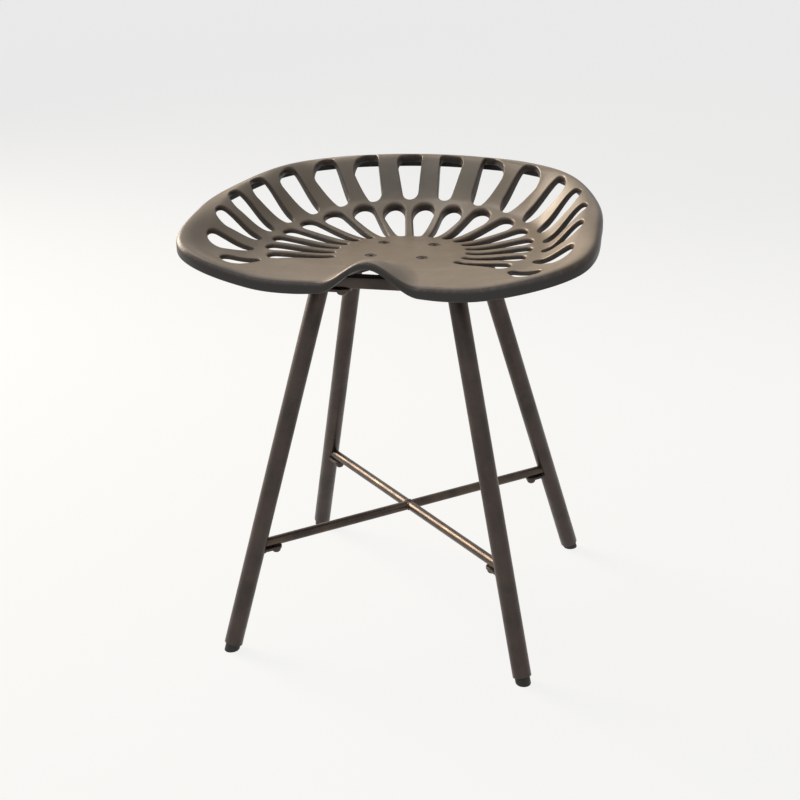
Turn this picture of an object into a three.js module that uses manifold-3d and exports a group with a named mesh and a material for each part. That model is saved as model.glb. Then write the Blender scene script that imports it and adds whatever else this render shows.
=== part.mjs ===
// A stool with a slotted cast tractor seat on a square tube sub-frame, four splayed tube legs and a crossed brace.
// Millimetres, +Z up. The front, with the pommel, faces -Y, and left and right are as seen from the front.
// The origin is on the floor, under the middle of the seat.
import * as THREE from "three";
import { mergeVertices } from "three/addons/utils/BufferGeometryUtils.js";
import Module from "manifold-3d";

const wasm = await Module();
wasm.setup();

// Driving sizes
const seat_height = 400; // flat middle of the seat above the floor
const seat_half_width = 212; // middle of the seat to the rim at its widest
const back_rise = 70; // crest of the rear rim above the flat middle
const casting_wall = 5.5;
const joint_gap = 0.3; // clearance between pieces that touch
const overrun = 2; // how far a cutter passes the face that it cuts
const merge_distance = 1e-4; // corners closer than this are one

// Rim of the casting
const rim_roll = 6; // radius that turns the rim over
const rear_lip_drop = 13.5; // crest to the lower edge of the lip
const front_lip_drop = 13;
const lip_wall = 7;
const lip_edge = 1.5; // rounding of the lip's lower edge
const rim_band = 11; // least solid width outside the slots

// Shape of the casting at equal steps of bearing, from the rear centre line to the front one
const rim_reach_shares = [0.712, 0.731, 0.802, 0.868, 0.925, 1, 1.083, 0.873, 0.698, 0.665];
const rim_rise_shares = [1, 0.993, 0.971, 0.929, 0.8, 0.657, 0.386, 0.1, 0.036, 0.014];
const shoulder_reach_shares = [0.88, 0.88, 0.905, 0.95, 0.945, 0.91, 0.862, 0.85, 0.85, 0.85];
const shoulder_rise_shares = [1.03, 1.03, 0.985, 0.893, 0.814, 0.63, 0.24, 0.08, 0.035, 0.015];
const web_reach_shares = [0.725, 0.715, 0.72, 0.736, 0.735, 0.71, 0.665, 0.66, 0.66, 0.66];
const web_rise_shares = [0.393, 0.386, 0.357, 0.257, 0.186, 0.139, 0.093, 0.05, 0.025, 0.012];

// Flat middle and pommel
const plate_radius = 67.5;
const plate_shift = 10; // centre of the flat middle, forward of the origin
const pommel_rise = 24;
const pommel_half_width = 50;
const pommel_end_share = 0.27; // where the pommel fades out, as a share of the front reach
const pommel_taper_share = 0.2; // its width there, as a share of its width at the edge
const pommel_rim_share = 0.45; // how much slighter the rim is on the pommel's ridge
const pommel_rim_spread_share = 1.5; // width of that slight rim, of the pommel's

// Slots
const outer_end_degrees = [10.8, 31.9, 48.8, 63.2, 77.2, 89.8, 101.2, 112.4, 124.4];
const outer_tip_degrees = [9.7, 28.7, 44.7, 58.8, 72.4, 84.8, 96.2, 108.6, 122.5];
const inner_end_degrees = [0, 20.2, 38.8, 55.6, 70.2, 83.6, 95, 106.6, 118.6];
const inner_tip_step_degrees = 14; // between the tips of two inner slots, about the flat middle's centre
const ring_web = 13; // metal between the two rings of slots
const outer_slot_share = 0.53; // width of an outer slot's wide end, of its pitch
const outer_tip_radius = 7;
const outer_corner_radius = 7.5;
const inner_bar = 8; // metal between two inner slots
const inner_tip_radius = 3.8;

// Seat screws
const screw_half_pitch_x = 27;
const screw_half_pitch_y = 26;
const screw_radius = 3;
const screw_head_radius = 6;
const screw_socket_radius = 2.3;
const screw_socket_depth = 2;
const screw_end = 2; // thread left below the centre plate

// Sub-frame
const frame_half_width = 81;
const frame_half_depth = 71.5;
const rail_size = 12.7;
const rail_wall = 1.6;
const plate_thickness = 4;
const plate_half_depth = 42;

// Legs and what holds them
const leg_radius = 9.5;
const leg_wall = 1.5;
const head_inset = 10; // middle of a leg's top, in from the rail's end
const foot_half_width = 155.8; // middle of a foot from the centre line
const foot_half_depth = 156.4;
const leg_end_height = 7; // middle of the tube's lower end above the floor
const tab_thickness = 3;
const leg_tab_overhang = 0.8; // tab past the leg's outer side
const leg_bolt_inset = 34; // bolt, in from the rail's end
const leg_bolt_radius = 4;
const leg_bolt_length = 12;
const leg_bolt_head_radius = 6;
const leg_bolt_head_height = 6;

// Floor glides
const glide_depth = 18; // plug inside the tube
const glide_wall = 2.2;

// Brace
const brace_height = 111.6; // axis of the bars
const brace_radius = 5;
const brace_tab_half_width = 6;
const brace_bolt_reach = 11.5; // bolt from the leg's side
const brace_bolt_radius = 2.5;
const brace_bolt_length = 9;
const brace_bolt_head_radius = 5;
const brace_bolt_head_height = 5.5;
const socket_share = 0.5; // key socket across the corners, of the head
const socket_depth_share = 0.45;

// Facets
const tube_sides = 20;
const bar_sides = 16;
const bolt_sides = 12;
const hole_sides = 12;
const rear_bearings = 25; // from the rear centre line to the pommel's side
const front_bearings = 11; // across half of the pommel
const front_bearing_start = THREE.MathUtils.degToRad(150);
const arc_steps = 4;
const dome_steps = 3;
const dish_steps = [3, 3, 1, 4]; // between the knots of a section, from where the pommel starts

// Finishes
const finishes = {
  casting: new THREE.MeshStandardMaterial({ color: 0x7d6c5c, roughness: 0.45, metalness: 0.75 }),
  bronze_tube: new THREE.MeshStandardMaterial({ color: 0x4c423b, roughness: 0.5, metalness: 0.7 }),
  brace_bar: new THREE.MeshStandardMaterial({ color: 0x5a4636, roughness: 0.35, metalness: 0.8 }),
  fastener: new THREE.MeshStandardMaterial({ color: 0x3d352e, roughness: 0.4, metalness: 0.8 }),
  glide_plastic: new THREE.MeshStandardMaterial({ color: 0x1f1b19, roughness: 0.7, metalness: 0 }),
};

// Heights that follow
const casting_underside = seat_height - casting_wall;
const plate_top = casting_underside - joint_gap;
const rail_top = plate_top - plate_thickness - joint_gap;
const rail_bottom = rail_top - rail_size;
const leg_tab_top = rail_bottom - joint_gap;
const leg_top = leg_tab_top - tab_thickness - joint_gap;
const brace_tab_top = brace_height - brace_radius - joint_gap;
const rail_axis_y = frame_half_depth - rail_size / 2;
const leg_head_x = frame_half_width - head_inset;

// A closed geometry as a solid
function solid(geometry) {
  const bare = geometry.clone();
  bare.deleteAttribute("normal");
  bare.deleteAttribute("uv");
  const merged = mergeVertices(bare, merge_distance);
  return new wasm.Manifold(
    new wasm.Mesh({
      numProp: 3,
      vertProperties: new Float32Array(merged.attributes.position.array),
      triVerts: new Uint32Array(merged.index.array),
    }),
  );
}

function mesh(name, body, finish) {
  const made = body.getMesh();
  const geometry = new THREE.BufferGeometry();
  geometry.setAttribute("position", new THREE.BufferAttribute(new Float32Array(made.vertProperties), 3));
  geometry.setIndex(new THREE.BufferAttribute(new Uint32Array(made.triVerts), 1));
  const faceted = geometry.toNonIndexed();
  faceted.computeVertexNormals();
  const out = new THREE.Mesh(faceted, finish);
  out.name = name;
  return out;
}

function joined(bodies) {
  return bodies.reduce((sum, body) => sum.add(body));
}

// A box between two corners
function box(low, high) {
  const size = new THREE.Vector3().subVectors(high, low);
  const middle = new THREE.Vector3().addVectors(low, high).multiplyScalar(0.5);
  return solid(new THREE.BoxGeometry(size.x, size.y, size.z).translate(middle.x, middle.y, middle.z));
}

// A round rod between two points
function rod(from, to, radius, sides) {
  const along = new THREE.Vector3().subVectors(to, from);
  const geometry = new THREE.CylinderGeometry(radius, radius, along.length(), sides);
  const turn = new THREE.Quaternion().setFromUnitVectors(new THREE.Vector3(0, 1, 0), along.clone().normalize());
  const middle = new THREE.Vector3().addVectors(from, to).multiplyScalar(0.5);
  return solid(geometry.applyQuaternion(turn).translate(middle.x, middle.y, middle.z));
}

// A flat outline raised from one height to another
function raised(outline, low, high) {
  const geometry = new THREE.ExtrudeGeometry(new THREE.Shape(outline), {
    depth: high - low,
    bevelEnabled: false,
  });
  return solid(geometry.translate(0, 0, low));
}

// A solid of revolution about Z, from a profile of (radius, height) pairs that starts and ends on the axis
function turned(profile, sides) {
  const points = profile.map(([radius, height]) => new THREE.Vector2(radius, height));
  return solid(new THREE.LatheGeometry(points, sides).rotateX(Math.PI / 2));
}

// Points of an arc, counter-clockwise from one angle to another
function arc(centre, radius, from, to, steps) {
  return Array.from({ length: steps + 1 }, (_, i) => {
    const angle = from + ((to - from) * i) / steps;
    return new THREE.Vector2(centre.x + radius * Math.cos(angle), centre.y + radius * Math.sin(angle));
  });
}

// A closed skin through rings of points, where a ring of one point is a pole
function skin(rings) {
  const position = [];
  const index = [];
  const starts = rings.map((ring) => {
    const start = position.length / 3;
    ring.forEach((point) => position.push(point.x, point.y, point.z));
    return start;
  });
  for (let k = 0; k + 1 < rings.length; k++) {
    const count = Math.max(rings[k].length, rings[k + 1].length);
    const corner = (ring, i) => starts[ring] + (rings[ring].length === 1 ? 0 : i % count);
    for (let i = 0; i < count; i++) {
      const inner = [corner(k, i), corner(k, i + 1)];
      const outer = [corner(k + 1, i), corner(k + 1, i + 1)];
      if (rings[k].length > 1) index.push(inner[0], inner[1], outer[0]);
      if (rings[k + 1].length > 1) index.push(inner[1], outer[1], outer[0]);
    }
  }
  const geometry = new THREE.BufferGeometry();
  geometry.setAttribute("position", new THREE.BufferAttribute(new Float32Array(position), 3));
  geometry.setIndex(index);
  return geometry;
}

// A table's value at a bearing from the rear centre line: smooth, and alike on both sides
function around(shares, bearing) {
  const last = shares.length - 1;
  const place = Math.min(Math.abs(bearing) / Math.PI, 1) * last;
  const k = Math.min(Math.floor(place), last - 1);
  const t = place - k;
  const share = (i) => shares[i > last ? 2 * last - i : Math.abs(i)];
  const [a, b, c, d] = [share(k - 1), share(k), share(k + 1), share(k + 2)];
  return b + 0.5 * t * (c - a + t * (2 * a - 5 * b + 4 * c - d + t * (3 * (b - c) + d - a)));
}

// A curve through knots of (reach, rise), level at both ends, that never overshoots a knot
function through(knots, reach) {
  const last = knots.length - 1;
  if (reach <= knots[0][0]) return knots[0][1];
  if (reach >= knots[last][0]) return knots[last][1];
  const secant = (i) => (knots[i + 1][1] - knots[i][1]) / (knots[i + 1][0] - knots[i][0]);
  const lean = (i) => {
    if (i === 0 || i === last) return 0;
    const product = secant(i - 1) * secant(i);
    return product <= 0 ? 0 : (2 * product) / (secant(i - 1) + secant(i));
  };
  const i = knots.findIndex(([end]) => end >= reach) - 1;
  const span = knots[i + 1][0] - knots[i][0];
  const t = (reach - knots[i][0]) / span;
  const from = (1 + 2 * t) * (1 - t) ** 2 * knots[i][1] + t * (1 - t) ** 2 * span * lean(i);
  const to = t ** 2 * (3 - 2 * t) * knots[i + 1][1] + t ** 2 * (t - 1) * span * lean(i + 1);
  return from + to;
}

const rim_reach = (bearing) => seat_half_width * around(rim_reach_shares, bearing);
const web_outer_reach = (bearing) => rim_reach(bearing) * around(web_reach_shares, bearing);
const web_inner_reach = (bearing) => web_outer_reach(bearing) - ring_web;
const crest_reach = (bearing) => rim_reach(bearing) - rim_roll * rim_scale(bearing);
const front_reach = rim_reach(Math.PI);

function shoulder_reach(bearing) {
  const rim = rim_reach(bearing);
  return Math.min(rim * around(shoulder_reach_shares, bearing), rim - rim_band);
}

// Edge of the flat middle, a circle whose centre lies a little forward of the origin
function plate_reach(bearing) {
  const aside = plate_shift * Math.sin(bearing);
  return Math.sqrt(plate_radius ** 2 - aside ** 2) - plate_shift * Math.cos(bearing);
}

// From 1 on the centre line to 0 at a half width beside it
function bell(x, half_width) {
  return 0.5 * (1 + Math.cos(Math.PI * Math.min(Math.abs(x) / half_width, 1)));
}

// The pommel's hump, from 0 beside it to 1 on its ridge at the front edge
function pommel(x, y) {
  const end = front_reach * pommel_end_share;
  const forward = THREE.MathUtils.clamp((-y - end) / (front_reach - end), 0, 1);
  const widening = Math.sin((forward * Math.PI) / 2);
  const half_width = pommel_half_width * THREE.MathUtils.lerp(pommel_taper_share, 1, widening);
  return THREE.MathUtils.smoothstep(forward, 0, 1) * bell(x, half_width);
}

// The rim gets slighter towards the pommel's ridge
function rim_scale(bearing) {
  if (Math.abs(bearing) < Math.PI / 2) return 1;
  const x = rim_reach(bearing) * Math.sin(bearing);
  return 1 - pommel_rim_share * bell(x, pommel_half_width * pommel_rim_spread_share);
}

// Top of the casting above its flat middle
function top_rise(x, y) {
  const bearing = Math.atan2(x, y);
  const knots = [
    [plate_reach(bearing), 0],
    [web_inner_reach(bearing), back_rise * around(web_rise_shares, bearing)],
    [web_outer_reach(bearing), back_rise * around(web_rise_shares, bearing)],
    [shoulder_reach(bearing), back_rise * around(shoulder_rise_shares, bearing)],
    [crest_reach(bearing), back_rise * around(rim_rise_shares, bearing)],
  ];
  return through(knots, Math.hypot(x, y)) + pommel_rise * pommel(x, y);
}

// Underside of the casting, one wall square to the surface below its top
function under_rise(x, y) {
  const step = casting_wall / 8;
  const slope_x = (top_rise(x + step, y) - top_rise(x - step, y)) / (2 * step);
  const slope_y = (top_rise(x, y + step) - top_rise(x, y - step)) / (2 * step);
  return top_rise(x, y) - casting_wall * Math.hypot(1, slope_x, slope_y);
}

// A point on the casting at a bearing and a reach, with its rise above the flat middle
function seat_point(bearing, reach, rise) {
  const x = reach * Math.sin(bearing);
  const y = reach * Math.cos(bearing);
  return new THREE.Vector3(x, y, seat_height + (typeof rise === "function" ? rise(x, y) : rise));
}

// Reaches at which the dish is drawn, from where the pommel starts out to the shoulder
function dish_reaches(bearing) {
  const knots = [plate_reach, web_inner_reach, web_outer_reach, shoulder_reach].map((knot) => knot(bearing));
  knots.unshift(front_reach * pommel_end_share);
  return dish_steps.flatMap((steps, k) => {
    const reach = (_, i) => THREE.MathUtils.lerp(knots[k], knots[k + 1], i / steps);
    return Array.from({ length: steps }, reach);
  }).concat(knots[dish_steps.length]);
}

// One radial section of the casting, from the edge of its flat middle over the rim and back underneath
function seat_section(bearing) {
  const rim = rim_reach(bearing);
  const scale = rim_scale(bearing);
  const forward = Math.abs(bearing) / Math.PI;
  const drop = THREE.MathUtils.lerp(rear_lip_drop, front_lip_drop, forward) * scale;
  const roll = rim_roll * scale;
  const edge = lip_edge * scale;
  const inside = rim - lip_wall * scale;
  const diagonal = roll * (1 - Math.SQRT1_2);
  const crest = seat_point(bearing, rim - roll, top_rise);
  const crest_rise = crest.z - seat_height;
  const reaches = dish_reaches(bearing);
  return [
    ...reaches.map((reach) => seat_point(bearing, reach, top_rise)),
    crest,
    seat_point(bearing, rim - diagonal, crest_rise - diagonal),
    seat_point(bearing, rim, crest_rise - roll),
    seat_point(bearing, rim, crest_rise - drop + edge),
    seat_point(bearing, rim - edge, crest_rise - drop),
    seat_point(bearing, inside, crest_rise - drop),
    seat_point(bearing, inside, crest_rise - casting_wall),
    ...reaches.reverse().map((reach) => seat_point(bearing, reach, under_rise)),
  ];
}

function seat_bearings() {
  const half = [];
  for (let i = 0; i < rear_bearings; i++) half.push((front_bearing_start * i) / rear_bearings);
  for (let i = 0; i < front_bearings; i++) {
    half.push(THREE.MathUtils.lerp(front_bearing_start, Math.PI, i / front_bearings));
  }
  const other_half = half.slice(1).reverse().map((bearing) => -bearing);
  return [...half, Math.PI, ...other_half];
}

function seat_shell() {
  const sections = seat_bearings().map(seat_section);
  const rings = sections[0].map((_, i) => sections.map((section) => section[i]));
  const top_pole = [new THREE.Vector3(0, 0, seat_height)];
  const under_pole = [new THREE.Vector3(0, 0, casting_underside)];
  return solid(skin([top_pole, ...rings, under_pole]));
}

function plan_point(bearing, reach) {
  return new THREE.Vector2(reach * Math.sin(bearing), reach * Math.cos(bearing));
}

// Outline round a small circle at the tip and two alike circles at the wide end, whose centres stand half_gap off the line
function slot_outline(tip, tip_radius, end, end_radius, half_gap) {
  const along = new THREE.Vector2().subVectors(end, tip);
  const heading = along.angle();
  const reach = along.length();
  const spread = Math.atan2(half_gap, reach);
  const touch = spread + Math.acos((tip_radius - end_radius) / Math.hypot(reach, half_gap));
  const origin = new THREE.Vector2(0, 0);
  const near = new THREE.Vector2(reach, -half_gap);
  const far = new THREE.Vector2(reach, half_gap);
  const outline = [
    ...arc(origin, tip_radius, touch, 2 * Math.PI - touch, arc_steps),
    ...arc(near, end_radius, -touch, 0, arc_steps),
    ...arc(far, end_radius, 0, touch, arc_steps).slice(half_gap > 0 ? 0 : 1),
  ];
  return outline.map((point) => point.rotateAround(origin, heading).add(tip));
}

function slot_cutter(outline) {
  const highest = Math.max(...rim_rise_shares, ...shoulder_rise_shares);
  return raised(outline, casting_underside - overrun, seat_height + back_rise * highest + overrun);
}

// Bearings at which a slot's cell starts, lies and ends, from a list of one side's slots in degrees
function slot_cell(degrees, i) {
  const before = i > 0 ? degrees[i - 1] : -degrees[degrees[0] > 0 ? 0 : 1];
  const after = i + 1 < degrees.length ? degrees[i + 1] : 2 * degrees[i] - before;
  const cell = [(before + degrees[i]) / 2, degrees[i], (degrees[i] + after) / 2];
  return cell.map((angle) => THREE.MathUtils.degToRad(angle));
}

function outer_slot(_, i) {
  const [start, bearing, end] = slot_cell(outer_end_degrees, i);
  const tip_bearing = THREE.MathUtils.degToRad(outer_tip_degrees[i]);
  const [before, after] = [start, end].map((side) => plan_point(side, shoulder_reach(side)));
  const half_width = (outer_slot_share * before.distanceTo(after)) / 2;
  const tip = plan_point(tip_bearing, web_outer_reach(tip_bearing) + outer_tip_radius);
  const far = plan_point(bearing, shoulder_reach(bearing) - outer_corner_radius);
  const half_gap = Math.max(half_width - outer_corner_radius, 0);
  return slot_cutter(slot_outline(tip, outer_tip_radius, far, outer_corner_radius, half_gap));
}

function inner_slot(_, i) {
  const [start, bearing, end] = slot_cell(inner_end_degrees, i);
  const widest = web_inner_reach(bearing);
  const far_radius = (widest * (end - start) - inner_bar) / (2 + end - start);
  const turn = THREE.MathUtils.degToRad(i * inner_tip_step_degrees);
  const tip = plan_point(turn, plate_radius + inner_tip_radius);
  tip.y -= plate_shift;
  const far = plan_point(bearing, widest - far_radius);
  return slot_cutter(slot_outline(tip, inner_tip_radius, far, far_radius, 0));
}

// Profile of a countersunk screw, or of the hole for it when it is grown by a clearance
function screw_profile(grown, top, foot) {
  const shank = screw_radius + grown;
  const head = screw_head_radius + grown;
  return [
    [0, foot],
    [shank, foot],
    [shank, seat_height - joint_gap - (head - shank)],
    [head, seat_height - joint_gap],
    [head, top],
    [0, top],
  ];
}

const screw_places = [-1, 1].flatMap((side) =>
  [-1, 1].map((end) => ({ side, end, at: [side * screw_half_pitch_x, end * screw_half_pitch_y, 0] })),
);

function seat_casting() {
  const slots = joined([...outer_end_degrees.map(outer_slot), ...inner_end_degrees.map(inner_slot)]);
  const hole = turned(screw_profile(joint_gap, seat_height + overrun, casting_underside - overrun), hole_sides);
  const holes = screw_places.map(({ at }) => hole.translate(at));
  const body = seat_shell().subtract(slots).subtract(slots.mirror([1, 0, 0])).subtract(joined(holes));
  return mesh("seat_casting", body, finishes.casting);
}

const side_name = (side) => (side < 0 ? "left" : "right");
const end_name = (end) => (end < 0 ? "front" : "rear");
const corner_name = (side, end) => `${end_name(end)}_${side_name(side)}`;

function seat_screw({ side, end, at }) {
  const head_top = seat_height - joint_gap / 2;
  const foot = plate_top - plate_thickness - screw_end;
  const shank = turned(screw_profile(0, head_top, foot), hole_sides);
  const socket = rod(
    new THREE.Vector3(0, 0, head_top - screw_socket_depth),
    new THREE.Vector3(0, 0, head_top + overrun),
    screw_socket_radius,
    6,
  );
  return mesh(`seat_screw_${corner_name(side, end)}`, shank.subtract(socket).translate(at), finishes.fastener);
}

function centre_plate() {
  const half_width = frame_half_width - rail_size / 2;
  const plate = box(
    new THREE.Vector3(-half_width, -plate_half_depth, plate_top - plate_thickness),
    new THREE.Vector3(half_width, plate_half_depth, plate_top),
  );
  const holes = screw_places.map(({ at }) => {
    const [x, y] = at;
    const low = new THREE.Vector3(x, y, plate_top - plate_thickness - overrun);
    const high = new THREE.Vector3(x, y, plate_top + overrun);
    return rod(low, high, screw_radius + joint_gap, hole_sides);
  });
  return mesh("centre_plate", plate.subtract(joined(holes)), finishes.bronze_tube);
}

// A square tube between two corners, hollow along one axis
function square_tube(low, high, axis) {
  const inset = new THREE.Vector3(rail_wall, rail_wall, rail_wall).setComponent(axis, -overrun);
  const bore = box(low.clone().add(inset), high.clone().sub(inset));
  return box(low, high).subtract(bore);
}

const leg_bolt_x = frame_half_width - leg_bolt_inset;

function cross_rail(end) {
  const inner_y = end * (frame_half_depth - rail_size);
  const outer_y = end * frame_half_depth;
  const low = new THREE.Vector3(-frame_half_width, Math.min(inner_y, outer_y), rail_bottom);
  const high = new THREE.Vector3(frame_half_width, Math.max(inner_y, outer_y), rail_top);
  const holes = [-1, 1].map((side) => {
    const x = side * leg_bolt_x;
    const from = new THREE.Vector3(x, end * rail_axis_y, rail_bottom - overrun);
    const to = new THREE.Vector3(x, end * rail_axis_y, rail_bottom + rail_wall + overrun);
    return rod(from, to, leg_bolt_radius + joint_gap, hole_sides);
  });
  const body = square_tube(low, high, 0).subtract(joined(holes));
  return mesh(`${end_name(end)}_rail`, body, finishes.bronze_tube);
}

function side_rail(side) {
  const inner_x = side * (frame_half_width - rail_size);
  const outer_x = side * frame_half_width;
  const half_length = frame_half_depth - rail_size - joint_gap;
  const low = new THREE.Vector3(Math.min(inner_x, outer_x), -half_length, rail_bottom);
  const high = new THREE.Vector3(Math.max(inner_x, outer_x), half_length, rail_top);
  return mesh(`${side_name(side)}_rail`, square_tube(low, high, 1), finishes.bronze_tube);
}

// Axis of a leg, from the floor to its top or to another height
function leg_point(side, end, height) {
  const foot = new THREE.Vector3(side * foot_half_width, end * foot_half_depth, 0);
  const head = new THREE.Vector3(side * leg_head_x, end * rail_axis_y, leg_top);
  return foot.lerp(head, height / leg_top);
}

// A slab over the whole stool between two heights
function slab(low, high) {
  const reach = foot_half_width + foot_half_depth;
  return box(new THREE.Vector3(-reach, -reach, low), new THREE.Vector3(reach, reach, high));
}

function leg(side, end) {
  const lower = leg_point(side, end, leg_end_height);
  const upper = leg_point(side, end, leg_top + leg_radius);
  const past = new THREE.Vector3().subVectors(upper, lower).setLength(overrun);
  const tube = rod(lower, upper, leg_radius, tube_sides);
  const bore = rod(lower.clone().sub(past), upper.clone().add(past), leg_radius - leg_wall, tube_sides);
  const above = slab(leg_top, leg_top + 4 * leg_radius);
  return mesh(`leg_${corner_name(side, end)}`, tube.subtract(bore).subtract(above), finishes.bronze_tube);
}

function glide(side, end) {
  const foot = leg_point(side, end, 0);
  const along = leg_point(side, end, leg_top).sub(foot).normalize();
  const tube_end = leg_point(side, end, leg_end_height);
  const radius = leg_radius - leg_wall - joint_gap;
  const inside = tube_end.clone().addScaledVector(along, glide_depth);
  const below = foot.clone().addScaledVector(along, -radius);
  const plug = rod(below, inside, radius, tube_sides);
  const hollow = rod(tube_end, inside.clone().addScaledVector(along, overrun), radius - glide_wall, hole_sides);
  const body = plug.subtract(slab(-2 * radius, 0)).subtract(hollow);
  return mesh(`glide_${corner_name(side, end)}`, body, finishes.glide_plastic);
}

// The flat tab on top of a leg, with its bolt hole under the rail
function leg_tab(side, end) {
  const half_width = leg_radius + leg_tab_overhang;
  const outer_x = leg_head_x + leg_radius + leg_tab_overhang;
  const bolt = new THREE.Vector2(leg_bolt_x, 0);
  const outline = [
    new THREE.Vector2(outer_x, -half_width),
    new THREE.Vector2(outer_x, half_width),
    ...arc(bolt, half_width, Math.PI / 2, (3 * Math.PI) / 2, 2 * arc_steps),
  ];
  const low = leg_tab_top - tab_thickness;
  const plate = raised(outline, low, leg_tab_top);
  const hole = rod(
    new THREE.Vector3(leg_bolt_x, 0, low - overrun),
    new THREE.Vector3(leg_bolt_x, 0, leg_tab_top + overrun),
    leg_bolt_radius + joint_gap,
    hole_sides,
  );
  const turn = side < 0 ? 180 : 0;
  const body = plate.subtract(hole).rotate([0, 0, turn]).translate([0, end * rail_axis_y, 0]);
  return mesh(`leg_tab_${corner_name(side, end)}`, body, finishes.bronze_tube);
}

// A domed bolt, head down, whose bearing face is at height 0
function domed_bolt(radius, length, head_radius, head_height) {
  const rim = head_height / 4;
  const dome = arc(new THREE.Vector2(0, 0), 1, 0, Math.PI / 2, dome_steps);
  const profile = [
    ...dome.reverse().map((point) => [head_radius * point.x, -rim - (head_height - rim) * point.y]),
    [head_radius, 0],
    [radius, 0],
    [radius, length],
    [0, length],
  ];
  const socket = rod(
    new THREE.Vector3(0, 0, -head_height - overrun),
    new THREE.Vector3(0, 0, -head_height * (1 - socket_depth_share)),
    head_radius * socket_share,
    6,
  );
  return turned(profile, bolt_sides).subtract(socket);
}

function leg_bolt(side, end) {
  const bolt = domed_bolt(leg_bolt_radius, leg_bolt_length, leg_bolt_head_radius, leg_bolt_head_height);
  const height = leg_tab_top - tab_thickness - joint_gap;
  const body = bolt.translate([side * leg_bolt_x, end * rail_axis_y, height]);
  return mesh(`leg_bolt_${corner_name(side, end)}`, body, finishes.fastener);
}

// The leg's whole round, a little grown, which copes whatever is welded to its side
function leg_cope(side, end) {
  const from = leg_point(side, end, leg_end_height);
  return rod(from, leg_point(side, end, leg_top), leg_radius + joint_gap, tube_sides);
}

// Places along the level line from the middle of the stool to a leg, at the height of the brace tabs
function brace_line(side, end) {
  const leg_axis = leg_point(side, end, brace_height);
  const reach = Math.hypot(leg_axis.x, leg_axis.y);
  const lean = leg_point(side, end, leg_top).sub(leg_point(side, end, 0)).normalize().z;
  const bolt_reach = reach - leg_radius / lean - brace_bolt_reach;
  return { reach, bolt_reach, heading: Math.atan2(leg_axis.y, leg_axis.x) };
}

function along_brace(heading, reach, height) {
  return new THREE.Vector3(reach * Math.cos(heading), reach * Math.sin(heading), height);
}

function brace_bolt_hole(side, end) {
  const { bolt_reach, heading } = brace_line(side, end);
  const low = brace_tab_top - tab_thickness - joint_gap;
  const from = along_brace(heading, bolt_reach, low - overrun);
  const to = along_brace(heading, bolt_reach, low + brace_bolt_length + joint_gap);
  return rod(from, to, brace_bolt_radius + joint_gap, hole_sides);
}

function brace_tab(side, end) {
  const { reach, bolt_reach, heading } = brace_line(side, end);
  const half_width = brace_tab_half_width;
  const outline = [
    new THREE.Vector2(reach, -half_width),
    new THREE.Vector2(reach, half_width),
    ...arc(new THREE.Vector2(bolt_reach, 0), half_width, Math.PI / 2, (3 * Math.PI) / 2, 2 * arc_steps),
  ];
  const plate = raised(outline, brace_tab_top - tab_thickness, brace_tab_top);
  const turned_plate = plate.rotate([0, 0, THREE.MathUtils.radToDeg(heading)]);
  const body = turned_plate.subtract(leg_cope(side, end)).subtract(brace_bolt_hole(side, end));
  return mesh(`brace_tab_${corner_name(side, end)}`, body, finishes.bronze_tube);
}

function brace_bolt(side, end) {
  const { bolt_reach, heading } = brace_line(side, end);
  const bolt = domed_bolt(brace_bolt_radius, brace_bolt_length, brace_bolt_head_radius, brace_bolt_head_height);
  const place = along_brace(heading, bolt_reach, brace_tab_top - tab_thickness - joint_gap);
  return mesh(`brace_bolt_${corner_name(side, end)}`, bolt.translate(place.toArray()), finishes.fastener);
}

// A rod from the front left leg to the rear right one
function through_rod(radius) {
  return rod(leg_point(-1, -1, brace_height), leg_point(1, 1, brace_height), radius, bar_sides);
}

// A brace bar coped to the leg at one of its ends and drilled for the bolt there
function fitted_bar(bar, side, end) {
  return bar.subtract(leg_cope(side, end)).subtract(brace_bolt_hole(side, end));
}

function through_bar() {
  const bar = fitted_bar(fitted_bar(through_rod(brace_radius), -1, -1), 1, 1);
  return mesh("brace_bar_through", bar, finishes.brace_bar);
}

// A half bar butts against the side of the through bar
function butted_bar(side, end) {
  const middle = new THREE.Vector3(0, 0, brace_height);
  const bar = rod(middle, leg_point(side, end, brace_height), brace_radius, bar_sides);
  const body = fitted_bar(bar, side, end).subtract(through_rod(brace_radius + joint_gap));
  return mesh(`brace_bar_${corner_name(side, end)}`, body, finishes.brace_bar);
}

const stool = new THREE.Group();
stool.name = "tractor_seat_stool";
stool.add(seat_casting(), centre_plate(), ...screw_places.map(seat_screw));
for (const way of [-1, 1]) stool.add(cross_rail(way), side_rail(way));
for (const side of [-1, 1]) {
  for (const end of [-1, 1]) {
    stool.add(leg(side, end), leg_tab(side, end), leg_bolt(side, end), glide(side, end));
    stool.add(brace_tab(side, end), brace_bolt(side, end));
  }
}
stool.add(through_bar(), butted_bar(-1, 1), butted_bar(1, -1));

export default stool;
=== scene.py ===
"""A stool with a slotted cast tractor seat, four splayed tube legs and a crossed brace.

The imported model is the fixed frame, in metres. Each piece made here stands for nodes of it,
or is a run of weld between them.
"""

import math

import bmesh
import bpy
from mathutils import Matrix, Vector, kdtree
from mathutils.geometry import delaunay_2d_cdt


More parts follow.
